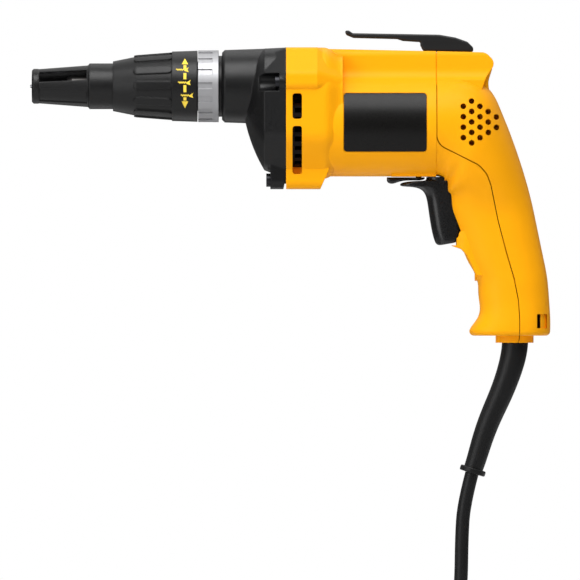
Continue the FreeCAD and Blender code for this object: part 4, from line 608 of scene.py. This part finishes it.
class Workpiece:
    """A mesh that is being modelled, and the object that it becomes."""

    def __init__(self) -> None:
        """Start with an empty mesh."""
        self.mesh = bmesh.new()

    def everything(self) -> list[bmesh.types.BMVert | bmesh.types.BMEdge | bmesh.types.BMFace]:
        """List all corners, edges and faces."""
        return [*self.mesh.verts, *self.mesh.edges, *self.mesh.faces]

    def face_out(self) -> None:
        """Turn all faces outwards."""
        bmesh.ops.recalc_face_normals(self.mesh, faces=self.mesh.faces[:])

    def weld(self, distance: float) -> None:
        """Join corners that lie within a small distance of each other."""
        bmesh.ops.remove_doubles(self.mesh, verts=self.mesh.verts[:], dist=distance)

    def patch(self, outline: Sequence[Flat]) -> bmesh.types.BMFace:
        """Lay one flat face in the XY plane from its corners in order."""
        return self.mesh.faces.new([self.mesh.verts.new((x, y, 0.0)) for x, y in outline])

    def slice(self, low: float, high: float, count: int) -> None:
        """Cut the mesh across Y at even steps, so that it can be bent.

        Args:
            low: Where the cuts begin.
            high: Where they end.
            count: How many there are.
        """
        for step in range(count):
            bmesh.ops.bisect_plane(
                self.mesh, geom=self.everything(),
                plane_co=(0.0, low + (high - low) * (step + 0.5) / count, 0.0),
                plane_no=(0.0, 1.0, 0.0),
            )

    def loft(self, rings: Sequence[Sequence[Point]]) -> None:
        """Join rings of points into one smooth skin that is closed at both ends.

        Args:
            rings: The rings in order, each with the same number of points.
        """
        loops = []
        for ring in rings:
            corners = [self.mesh.verts.new(place) for place in ring]
            pairs = zip(corners, corners[1:] + corners[:1])
            loops.append([self.mesh.edges.new(pair) for pair in pairs])
        for low, high in zip(loops, loops[1:]):
            bmesh.ops.bridge_loops(self.mesh, edges=low + high)
        for end in (loops[0], loops[-1]):
            bmesh.ops.contextual_create(self.mesh, geom=end)
        self.face_out()
        for face in self.mesh.faces:
            face.smooth = True

    def piece(self, name: str, body: str, finish: Finish) -> bpy.types.Object:
        """Make the object, give it its finish and set it riding.

        Args:
            name: The piece's name.
            body: The body that it moves with.
            finish: Its finish.

        Returns:
            The object.
        """
        data = bpy.data.meshes.new(name)
        self.mesh.to_mesh(data)
        self.mesh.free()
        thing = bpy.data.objects.new(name, data)
        bpy.context.scene.collection.objects.link(thing)
        data.materials.append(finish.material())
        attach(thing, body)
        return thing


def smooth(thing: bpy.types.Object) -> None:
    """Round a lofted piece off.

    Args:
        thing: The piece.
    """
    rounding = thing.modifiers.new("rounding", "SUBSURF")
    rounding.levels = ROUNDING
    rounding.render_levels = ROUNDING


@dataclass(frozen=True)
class Lamp:
    """One soft square lamp."""

    name: str
    place: Point
    size: float
    power: float


@dataclass
class Studio:
    """The camera, the soft lamps, the white surround and the pale floor."""

    eye: Point = (-0.1239, -6.0, -0.0236)
    seen_width: float = 0.3422
    sensor: float = 36.0
    floor_width: float = 1.3
    floor_near: float = -1.6
    floor_far: float = 0.50
    surround: float = 0.30
    horizon: float = 0.12
    white_from: float = 0.0
    white_above: float = 0.8
    floor_mirror: float = 0.3
    floor_glow: float = 0.7
    floor_tone: Tone = (0.8, 0.8, 0.8)
    floor_roughness: float = 0.9
    floor_specular: float = 0.1
    lamps: tuple[Lamp, ...] = (
        Lamp("key lamp", (-0.12, -0.78, 1.26), size=1.00, power=20.5),
        Lamp("side lamp", (-0.95, -0.85, 0.20), size=0.80, power=6.5),
        Lamp("back lamp", (0.20, 0.60, 1.30), size=0.80, power=3.0),
    )
    aim: Point = (-0.11, 0.0, 0.03)

    def camera(self) -> bpy.types.Object:
        """Stand the camera where the photograph was taken from.

        Returns:
            The camera.
        """
        data = bpy.data.cameras.new("camera")
        data.sensor_width = self.sensor
        data.lens = self.sensor * -self.eye[1] / self.seen_width
        camera = bpy.data.objects.new("camera", data)
        camera.location = self.eye
        camera.rotation_euler = (math.pi / 2, 0.0, 0.0)
        bpy.context.scene.collection.objects.link(camera)
        bpy.context.scene.camera = camera
        return camera

    def light(self) -> list[bpy.types.Object]:
        """Hang the lamps, each turned to the tool.

        Returns:
            The lamps.
        """
        hung = []
        for lamp in self.lamps:
            data = bpy.data.lights.new(lamp.name, "AREA")
            data.shape = "SQUARE"
            data.size = lamp.size
            data.energy = lamp.power
            light = bpy.data.objects.new(lamp.name, data)
            light.location = lamp.place
            turn = (Vector(self.aim) - Vector(lamp.place)).to_track_quat("-Z", "Y")
            light.rotation_euler = turn.to_euler()
            light.visible_camera = False
            bpy.context.scene.collection.objects.link(light)
            hung.append(light)
        return hung

    @staticmethod
    def seen_ray(sheet: NodeSheet, mirror: object) -> Socket:
        """Tell a ray that the eye follows from one that only carries light.

        Args:
            sheet: The node tree being drawn.
            mirror: How much of the white a mirror ray sees.

        Returns:
            1 for a camera or glass ray, and the given share for a mirror ray.
        """
        path = sheet.add("ShaderNodeLightPath").outputs
        mirrored = sheet.sum("MULTIPLY", path["Is Glossy Ray"], mirror)
        through = sheet.sum("MAXIMUM", mirrored, path["Is Transmission Ray"])
        return sheet.sum("MAXIMUM", path["Is Camera Ray"], through)

    def world(self) -> None:
        """Surround the scene with soft light that the eye sees as white."""
        world = bpy.data.worlds.new("surround")
        world.use_nodes = True
        bpy.context.scene.world = world
        sheet = NodeSheet(world.node_tree)
        sky = world.node_tree.nodes["Background"]
        sheet.feed(sky.inputs["Color"], (1.0, 1.0, 1.0))
        way = sheet.add("ShaderNodeSeparateXYZ")
        sheet.feed(way.inputs[0], sheet.add("ShaderNodeTexCoord").outputs["Generated"])
        height = sheet.ease(way.outputs["Z"], self.white_from, self.white_above)
        seen = self.seen_ray(sheet, height)
        glossy = sheet.add("ShaderNodeLightPath").outputs["Is Glossy Ray"]
        around = sheet.sum("MULTIPLY_ADD", glossy, self.horizon - self.surround, self.surround)
        lit = sheet.sum("MULTIPLY_ADD", seen, 1.0 - self.surround, around)
        sheet.feed(sky.inputs["Strength"], lit)

    def floor(self) -> bpy.types.Object:
        """Lay a pale floor under the lowest point, which keeps the tool's shadow.

        Returns:
            The floor.
        """
        work = bmesh.new()
        half = self.floor_width / 2
        middle = self.eye[0]
        level = cad_low.z
        corners = [
            (middle - half, self.floor_near), (middle + half, self.floor_near),
            (middle + half, self.floor_far), (middle - half, self.floor_far),
        ]
        work.faces.new([work.verts.new((x, y, level)) for x, y in corners])
        data = bpy.data.meshes.new("floor")
        work.to_mesh(data)
        work.free()
        floor = bpy.data.objects.new("floor", data)
        bpy.context.scene.collection.objects.link(floor)
        material = bpy.data.materials.new("pale floor")
        material.use_nodes = True
        sheet = NodeSheet(material.node_tree)
        shader = material.node_tree.nodes["Principled BSDF"]
        sheet.feed(shader.inputs["Base Color"], self.floor_tone)
        sheet.feed(shader.inputs["Roughness"], self.floor_roughness)
        sheet.feed(shader.inputs["Specular IOR Level"], self.floor_specular)
        glow = sheet.add("ShaderNodeEmission")
        both = sheet.add("ShaderNodeMixShader")
        seen = self.seen_ray(sheet, self.floor_mirror)
        sheet.feed(both.inputs[0], sheet.sum("MULTIPLY", seen, self.floor_glow))
        sheet.feed(both.inputs[1], shader.outputs[0])
        sheet.feed(both.inputs[2], glow.outputs[0])
        sheet.feed(material.node_tree.nodes["Material Output"].inputs[0], both.outputs[0])
        data.materials.append(material)
        return floor

    def build(self) -> list[str]:
        """Set the studio up.

        Returns:
            What stands in it.
        """
        bpy.context.scene.view_settings.view_transform = "Standard"
        camera = self.camera()
        lamps = self.light()
        self.world()
        return [camera.name, *(lamp.name for lamp in lamps), self.floor().name]


@dataclass
class SupplyCord:
    """The supply cord from the boot to its plug, with the coil that is put away."""

    diameter: float = 0.0082
    length: float = 2.336
    exit: Point = (-0.01655, 0.0, -0.13165)
    route: tuple[Point, ...] = (
        (-0.0214, 0.0, -0.150), (-0.0226, 0.0, -0.170), (-0.0229, 0.0, -0.195),
        (-0.025, 0.0, -0.221), (-0.039, 0.0, -0.244), (-0.0625, 0.0, -0.2575),
        (-0.088, -0.003, -0.2596), (-0.110, -0.014, -0.260), (-0.131, -0.025, -0.260),
        (-0.150, -0.027, -0.260),
    )
    coil_middle: Point = (-0.1582, 0.0351, -0.260)
    coil_radius: float = 0.0621
    pitch: float = 0.0088
    inward_turns: float = 3.25
    climb_turns: float = 0.5
    points_to_a_turn: int = 16
    tail: float = 0.036
    curve_order: int = 3
    steps_between: int = 6
    round_steps: int = 5

    def coil_point(self, turn: float) -> Point:
        """Find a point of the coil, which winds in, climbs and winds out on top.

        Args:
            turn: Turns from the coil's start.

        Returns:
            The point.
        """
        inward = min(turn, self.inward_turns)
        climb = min(max(turn - self.inward_turns, 0.0) / self.climb_turns, 1.0)
        outward = max(turn - self.inward_turns - self.climb_turns, 0.0)
        dip = 0.5 / math.pi * math.sin(math.pi * climb)
        radius = self.coil_radius - self.pitch * (inward - outward + dip)
        angle = -math.pi / 2 - 2 * math.pi * turn
        x, y, z = self.coil_middle
        rise = self.pitch * (1 - math.cos(math.pi * climb)) / 2
        return (x + radius * math.cos(angle), y + radius * math.sin(angle), z + rise)

    def line(self) -> list[Point]:
        """List the points that the cord is led by, from the boot to the plug.

        Returns:
            The points.
        """
        turns = 2 * self.inward_turns + self.climb_turns
        count = round(turns * self.points_to_a_turn)
        coil = [self.coil_point(turns * step / count) for step in range(count + 1)]
        x, y, z = coil[-1]
        return [self.exit, *self.route, *coil, (x - self.tail, y, z)]

    def cord(self) -> bpy.types.Object:
        """Lead the cord along its points as one smooth line.

        Returns:
            The cord.
        """
        curve = bpy.data.curves.new("supply_cord", "CURVE")
        curve.dimensions = "3D"
        points = self.line()
        spline = curve.splines.new("NURBS")
        spline.points.add(len(points) - 1)
        for knot, place in zip(spline.points, points):
            knot.co = (*place, 1.0)
        spline.order_u = self.curve_order
        spline.use_endpoint_u = True
        spline.resolution_u = self.steps_between
        curve.bevel_depth = self.diameter / 2
        curve.bevel_resolution = self.round_steps
        curve.use_fill_caps = True
        curve.materials.append(CORD_RUBBER.material())
        cord = bpy.data.objects.new("supply_cord", curve)
        bpy.context.scene.collection.objects.link(cord)
        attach(cord, "housing")
        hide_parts("cord_drop", "cord_coil")
        return cord

    def build(self) -> list[str]:
        """Make the cord and dress what is on it.

        Returns:
            The pieces' names.
        """
        made = [self.cord().name]
        made += dress(CORD_RUBBER, "cord_boot", "cord_end", "plug_body")
        made += dress(TIE_BLACK, "cord_tie")
        made += dress(BLADE_BRASS, "plug_blades")
        return made


@dataclass
class DepthMark:
    """The printed mark on the collar: an upright double arrow crossed by three screws."""

    axis_height: float = SPINDLE_HEIGHT
    radius_front: float = 0.0205
    radius_rear: float = 0.0210
    front: float = -0.1935
    rear: float = -0.1785
    ink: float = 0.00012
    lift: float = 0.00004
    arrow_x: float = -0.1857
    tip_up: float = 0.0182
    tip_down: float = -0.0143
    head_long: float = 0.0048
    head_wide: float = 0.0019
    shaft_half: float = 0.00085
    shafts: tuple[Flat, ...] = (
        (0.0100, 0.0128), (0.0037, 0.0075), (-0.0039, 0.0003), (-0.0090, -0.0070),
    )
    screws: tuple[Flat, ...] = ((-0.1911, 0.0097), (-0.1899, 0.0018), (-0.1883, -0.0058))
    screw_long: float = 0.0076
    thread_share: float = 0.68
    notch_share: float = 0.09
    thread_half: float = 0.00042
    thread_swing: float = 0.00040
    threads: int = 4
    flare_half: float = 0.0016
    slices: int = 30

    def screw(self, tip: Flat) -> list[Flat]:
        """Draw a screw's outline from its tip to its flared head.

        Args:
            tip: The screw's tip.

        Returns:
            The corners in order.
        """
        x, y = tip
        step = self.screw_long * self.thread_share / (2 * self.threads)
        swings = [(-1) ** n * self.thread_swing for n in range(2 * self.threads)]
        upper = [(x + step * (n + 1), y + self.thread_half + s) for n, s in enumerate(swings)]
        lower = [(x + step * (n + 1), y - self.thread_half + s) for n, s in enumerate(swings)]
        head = x + self.screw_long
        notch = head - self.screw_long * self.notch_share
        flare = [(head, y - self.flare_half), (notch, y), (head, y + self.flare_half)]
        return [(x, y), *lower, *flare, *reversed(upper)]

    def arrow_head(self, tip: float, away: float) -> list[Flat]:
        """Draw one arrow head.

        Args:
            tip: Where its point is, along the print.
            away: 1 if it points up, -1 if down.

        Returns:
            The three corners.
        """
        base = tip - away * self.head_long
        left, right = self.arrow_x - self.head_wide, self.arrow_x + self.head_wide
        return [(self.arrow_x, tip), (left, base), (right, base)]

    def wrap(self, mesh: bmesh.types.BMesh) -> None:
        """Bend the flat print round the collar, a little proud of it.

        Args:
            mesh: The print, with its ink's thickness.
        """
        slope = (self.radius_rear - self.radius_front) / (self.rear - self.front)
        for vert in mesh.verts:
            x, along, height = vert.co
            base = self.radius_front + slope * (x - self.front)
            radius = base + self.lift + abs(height)
            turn = along / base
            vert.co = (
                x, -radius * math.cos(turn), self.axis_height + radius * math.sin(turn)
            )

    def build(self) -> list[str]:
        """Print the mark on the near side of the collar.

        Returns:
            The piece's name.
        """
        work = Workpiece()
        for low, high in self.shafts:
            left, right = self.arrow_x - self.shaft_half, self.arrow_x + self.shaft_half
            work.patch([(left, low), (right, low), (right, high), (left, high)])
        work.patch(self.arrow_head(self.tip_up, 1.0))
        work.patch(self.arrow_head(self.tip_down, -1.0))
        for tip in self.screws:
            work.patch(self.screw(tip))
        work.slice(self.tip_down, self.tip_up, self.slices)
        work.face_out()
        bmesh.ops.solidify(work.mesh, geom=work.mesh.faces[:], thickness=self.ink)
        self.wrap(work.mesh)
        work.face_out()
        return [work.piece("depth_mark", "collar", MARK_YELLOW).name]


@dataclass
class NoseAssembly:
    """The depth setting nose with its collar, ring, spindle and bit."""

    mark: DepthMark = field(default_factory=DepthMark)

    def build(self) -> list[str]:
        """Dress the nose and print its mark.

        Returns:
            The pieces' names.
        """
        made = dress(NOSE_BLACK, "nosepiece", "depth_collar", "locator_sleeve")
        made += dress(RING_SILVER, "detent_ring")
        made += dress(TOOL_STEEL, "spindle", "driver_bit")
        # The bit holder's finish carries painted light that offsets the shade inside the nose.
        made += dress(TOOL_BLACK_PAINTED_LIGHT, "bit_holder")
        made += dress(BEARING_STEEL, "bit_magnet")
        return made + self.mark.build()


@dataclass
class ClutchSpring:
    """The spring between the gear and the spindle, which shortens as the bit is pressed in."""

    axis_height: float = SPINDLE_HEIGHT
    radius: float = 0.0086
    wire: float = 0.0009
    wire_sides: int = 12
    turns: int = 2
    steps_to_a_turn: int = 36
    travel: float = 0.0030

    def build(self) -> list[str]:
        """Wind the spring in the place of its solid, riding with the gear.

        Returns:
            The piece's name.
        """
        low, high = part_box("clutch_spring")
        work = Workpiece()
        start = Matrix.Translation((low.x + self.wire / 2, 0.0, self.axis_height + self.radius))
        bmesh.ops.create_circle(
            work.mesh, segments=self.wire_sides, radius=self.wire / 2,
            matrix=start @ Matrix.Rotation(math.pi / 2, 4, "X"),
        )
        steps = self.turns * self.steps_to_a_turn
        bmesh.ops.spin(
            work.mesh, geom=work.mesh.verts[:] + work.mesh.edges[:],
            cent=(0.0, 0.0, self.axis_height), axis=(1.0, 0.0, 0.0),
            dvec=((high.x - low.x - self.wire) / steps, 0.0, 0.0),
            angle=2 * math.pi * self.turns, steps=steps,
        )
        ends = [edge for edge in work.mesh.edges if edge.is_boundary]
        bmesh.ops.holes_fill(work.mesh, edges=ends)
        work.face_out()
        for face in work.mesh.faces:
            face.smooth = len(face.verts) == 4
        thing = work.piece("clutch_spring_coil", "gear", SPRING_STEEL)
        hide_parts("clutch_spring")
        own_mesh(thing)
        return [thing.name]


@dataclass
class GearCase:
    """The gear case with its screws, bushes, gear and clutch."""

    spring: ClutchSpring = field(default_factory=ClutchSpring)

    def build(self) -> list[str]:
        """Dress the gear case and what turns in it.

        Returns:
            The pieces' names.
        """
        made = dress(CASE_BLACK, "gear_case")
        made += dress(SCREW_STEEL, "gear_case_screws")
        made += dress(PLATE_ALLOY, "bearing_plate")
        made += dress(BRONZE, "spindle_front_bush", "spindle_rear_bush")
        made += dress(TOOL_STEEL, "drive_gear")
        return made + self.spring.build()


@dataclass
class SeamTongue:
    """The thin tongue between the housing and its cover, which keeps light out of the seam."""

    seam_x: float = -0.0378
    cut_back: float = 0.0006
    lowest: float = 0.097
    middle_height: float = 0.080
    shrink: float = 0.97
    gap: float = 0.0004
    weld: float = 0.000001

    def build(self) -> list[str]:
        """Cut the tongue's outline from a copy of the housing and set it into the seam.

        Returns:
            The piece's name.
        """
        work = Workpiece()
        mesh = work.mesh
        mesh.from_mesh(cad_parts["motor_housing"].data)
        work.weld(self.weld)
        bmesh.ops.bisect_plane(
            mesh, geom=work.everything(),
            plane_co=(self.seam_x - self.cut_back, 0.0, 0.0), plane_no=(1.0, 0.0, 0.0),
            clear_inner=True, clear_outer=True,
        )
        work.weld(self.weld)
        bmesh.ops.triangle_fill(
            mesh, edges=mesh.edges[:], use_beauty=True, normal=(1.0, 0.0, 0.0)
        )
        below = [face for face in mesh.faces if face.calc_center_median().z < self.lowest]
        bmesh.ops.delete(mesh, geom=below, context="FACES")
        loose = [edge for edge in mesh.edges if not edge.link_faces]
        bmesh.ops.delete(mesh, geom=loose, context="EDGES")
        for vert in mesh.verts:
            high = self.middle_height + (vert.co.z - self.middle_height) * self.shrink
            vert.co = (self.seam_x, vert.co.y * self.shrink, high)
        grown = bmesh.ops.extrude_face_region(mesh, geom=mesh.faces[:])["geom"]
        rear = [part for part in grown if isinstance(part, bmesh.types.BMVert)]
        bmesh.ops.translate(mesh, verts=rear, vec=(self.gap, 0.0, 0.0))
        work.face_out()
        return [work.piece("seam_tongue", "housing", HOUSING_YELLOW).name]


@dataclass
class MotorBody:
    """The housing with its handle cover, bare plates and belt hook."""

    tongue: SeamTongue = field(default_factory=SeamTongue)

    def build(self) -> list[str]:
        """Dress the outside of the body.

        Returns:
            The pieces' names.
        """
        made = dress(HOUSING_YELLOW, "motor_housing", "handle_cover")
        made += dress(PLATE_BLACK, "name_plates")
        made += dress(HOOK_BLACK, "belt_hook")
        made += dress(SCREW_STEEL, "handle_screw", "belt_hook_screws")
        return made + self.tongue.build()


@dataclass
class TriggerPull:
    """The trigger: a bar with a rounded front that sweeps forward into a lip under the body."""

    half_width: float = 0.0080
    front_round: float = 0.0066
    rear_round: float = 0.0016
    front_steps: int = 8
    rows: tuple[tuple[float, float, float, float], ...] = (
        (0.00285, -0.0360, -0.0348, 0.50), (0.00300, -0.0368, -0.0338, 0.74),
        (0.00370, -0.0378, -0.0300, 0.92), (0.00420, -0.0382, -0.0268, 0.96),
        (0.00520, -0.0387, -0.0246, 1.00), (0.00750, -0.0395, -0.0236, 1.00),
        (0.01200, -0.0406, -0.0226, 1.00), (0.02000, -0.0419, -0.0237, 1.00),
        (0.02700, -0.0428, -0.0249, 1.00), (0.03150, -0.0437, -0.0256, 1.00),
        (0.03440, -0.0451, -0.0262, 1.00), (0.03620, -0.0474, -0.0268, 1.00),
        (0.03720, -0.0512, -0.0271, 1.00), (0.03745, -0.0576, -0.0273, 1.00),
        (0.03790, -0.0592, -0.0275, 1.00), (0.03910, -0.0592, -0.0279, 1.00),
        (0.03985, -0.0576, -0.0282, 1.00), (0.04055, -0.0535, -0.0284, 1.00),
        (0.04080, -0.0470, -0.0286, 1.00), (0.04090, -0.0438, -0.0289, 1.00),
        (0.04260, -0.0436, -0.0304, 1.00), (0.04300, -0.0436, -0.0310, 1.00),
        (0.04310, -0.0436, -0.0312, 1.00),
    )

    def ring(self, front: float, rear: float, fullness: float) -> list[Flat]:
        """Draw the trigger's outline seen from above, at one height.

        Args:
            front: Where its front is.
            rear: Where its rear is.
            fullness: Its share of the full width.

        Returns:
            The corners in order.
        """
        half = self.half_width * fullness
        deep = min(self.front_round * fullness, (rear - front) / 2)
        turns = [math.pi * (step / self.front_steps - 0.5) for step in range(self.front_steps + 1)]
        bow = [(front + deep * (1 - math.cos(t)), half * math.sin(t)) for t in turns]
        middle = (front + deep + rear) / 2
        inset = self.rear_round
        return [*bow, (middle, half), (rear - inset, half), (rear, half - inset),
                (rear, inset - half), (rear - inset, -half), (middle, -half)]

    def build(self) -> list[str]:
        """Model the trigger in the place of its plainer solid.

        Returns:
            The piece's name.
        """
        work = Workpiece()
        work.loft([
            [(x, y, height) for x, y in self.ring(front, rear, fullness)]
            for height, front, rear, fullness in self.rows
        ])
        thing = work.piece("trigger_pull", "trigger", CONTROL_BLACK)
        smooth(thing)
        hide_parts("trigger")
        return [thing.name]


@dataclass
class ReverseLever:
    """The reversing lever: a thin arm on a pin that ends in a rounded finger."""

    top: float = 0.0429
    corner: float = 0.3
    pin_x: float = -0.0480
    pin_radius: float = 0.0019
    pin_low: float = 0.0420
    pin_high: float = 0.0447
    pin_sides: int = 16
    rows: tuple[tuple[float, float, float], ...] = (
        (-0.0668, 0.0012, 0.0412), (-0.0667, 0.0018, 0.0405), (-0.0661, 0.0024, 0.0396),
        (-0.0650, 0.0027, 0.0391), (-0.0634, 0.0027, 0.0390), (-0.0618, 0.0026, 0.0394),
        (-0.0600, 0.0024, 0.0401), (-0.0580, 0.0022, 0.0406), (-0.0560, 0.0022, 0.0409),
        (-0.0522, 0.0023, 0.0410), (-0.0508, 0.0029, 0.0410), (-0.0494, 0.0037, 0.0410),
        (-0.0480, 0.0040, 0.0410), (-0.0466, 0.0037, 0.0411), (-0.0455, 0.0029, 0.0414),
        (-0.0446, 0.0018, 0.0417), (-0.0444, 0.0010, 0.0419),
    )

    def ring(self, x: float, half: float, low: float) -> list[Point]:
        """Draw the lever's cut face at one place along it.

        Args:
            x: The place.
            half: Half its width there.
            low: Its underside there.

        Returns:
            The corners in order.
        """
        inset = self.corner * min(half, self.top - low)
        side = half - inset
        return [
            (x, -side, self.top), (x, side, self.top), (x, half, self.top - inset),
            (x, half, low + inset), (x, side, low), (x, -side, low),
            (x, -half, low + inset), (x, -half, self.top - inset),
        ]

    def build(self) -> list[str]:
        """Model the lever in the place of its plainer solid.

        Returns:
            The piece's name.
        """
        work = Workpiece()
        middle = Matrix.Translation((self.pin_x, 0.0, (self.pin_low + self.pin_high) / 2))
        bmesh.ops.create_cone(
            work.mesh, cap_ends=True, cap_tris=False, segments=self.pin_sides,
            radius1=self.pin_radius, radius2=self.pin_radius,
            depth=self.pin_high - self.pin_low, matrix=middle,
        )
        work.loft([self.ring(*row) for row in self.rows])
        thing = work.piece("reversing_lever", "lever", CONTROL_BLACK)
        smooth(thing)
        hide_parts("reverse_lever")
        return [thing.name]


@dataclass
class Controls:
    """The trigger, the reversing lever and the switch behind them."""

    trigger: TriggerPull = field(default_factory=TriggerPull)
    lever: ReverseLever = field(default_factory=ReverseLever)

    def build(self) -> list[str]:
        """Model the trigger and the lever and dress the other controls.

        Returns:
            The pieces' names.
        """
        made = self.trigger.build() + self.lever.build()
        made += dress(INNER_PLASTIC, "switch_body", "switch_plunger", "cord_clamp")
        made += dress(SCREW_STEEL, "cord_clamp_screws")
        return made


@dataclass
class Motor:
    """The motor inside the housing."""

    def build(self) -> list[str]:
        """Dress the motor.

        Returns:
            The pieces' names.
        """
        made = dress(INNER_PLASTIC, "fan_shroud", "fan_baffle", "cooling_fan")
        made += dress(LAMINATION, "field_stack", "armature_core")
        made += dress(COPPER, "field_coils", "armature_winding", "commutator")
        made += dress(BLADE_BRASS, "brush_holders")
        made += dress(CARBON, "carbon_brushes")
        made += dress(SPRING_STEEL, "brush_springs")
        made += dress(TOOL_STEEL, "armature_shaft", "motor_pinion")
        for end in ("front", "rear"):
            rings = (f"{end}_bearing_{ring}" for ring in ("outer_ring", "inner_ring", "balls"))
            made += dress(BEARING_STEEL, *rings)
        return made


class Assembly(Protocol):
    """What each sub-assembly offers to the main function."""

    def build(self) -> list[str]:
        """Make the sub-assembly and give the names of its pieces."""


def main() -> None:
    """Build the studio and each sub-assembly in order."""
    logging.basicConfig(level=logging.INFO, format="%(name)s: %(message)s")
    assemblies: tuple[Assembly, ...] = (
        Studio(), SupplyCord(), NoseAssembly(), GearCase(), MotorBody(), Controls(), Motor(),
    )
    for assembly in assemblies:
        for name in assembly.build():
            log.info("%s: %s", type(assembly).__name__, name)


if __name__ == "__main__":
    main()
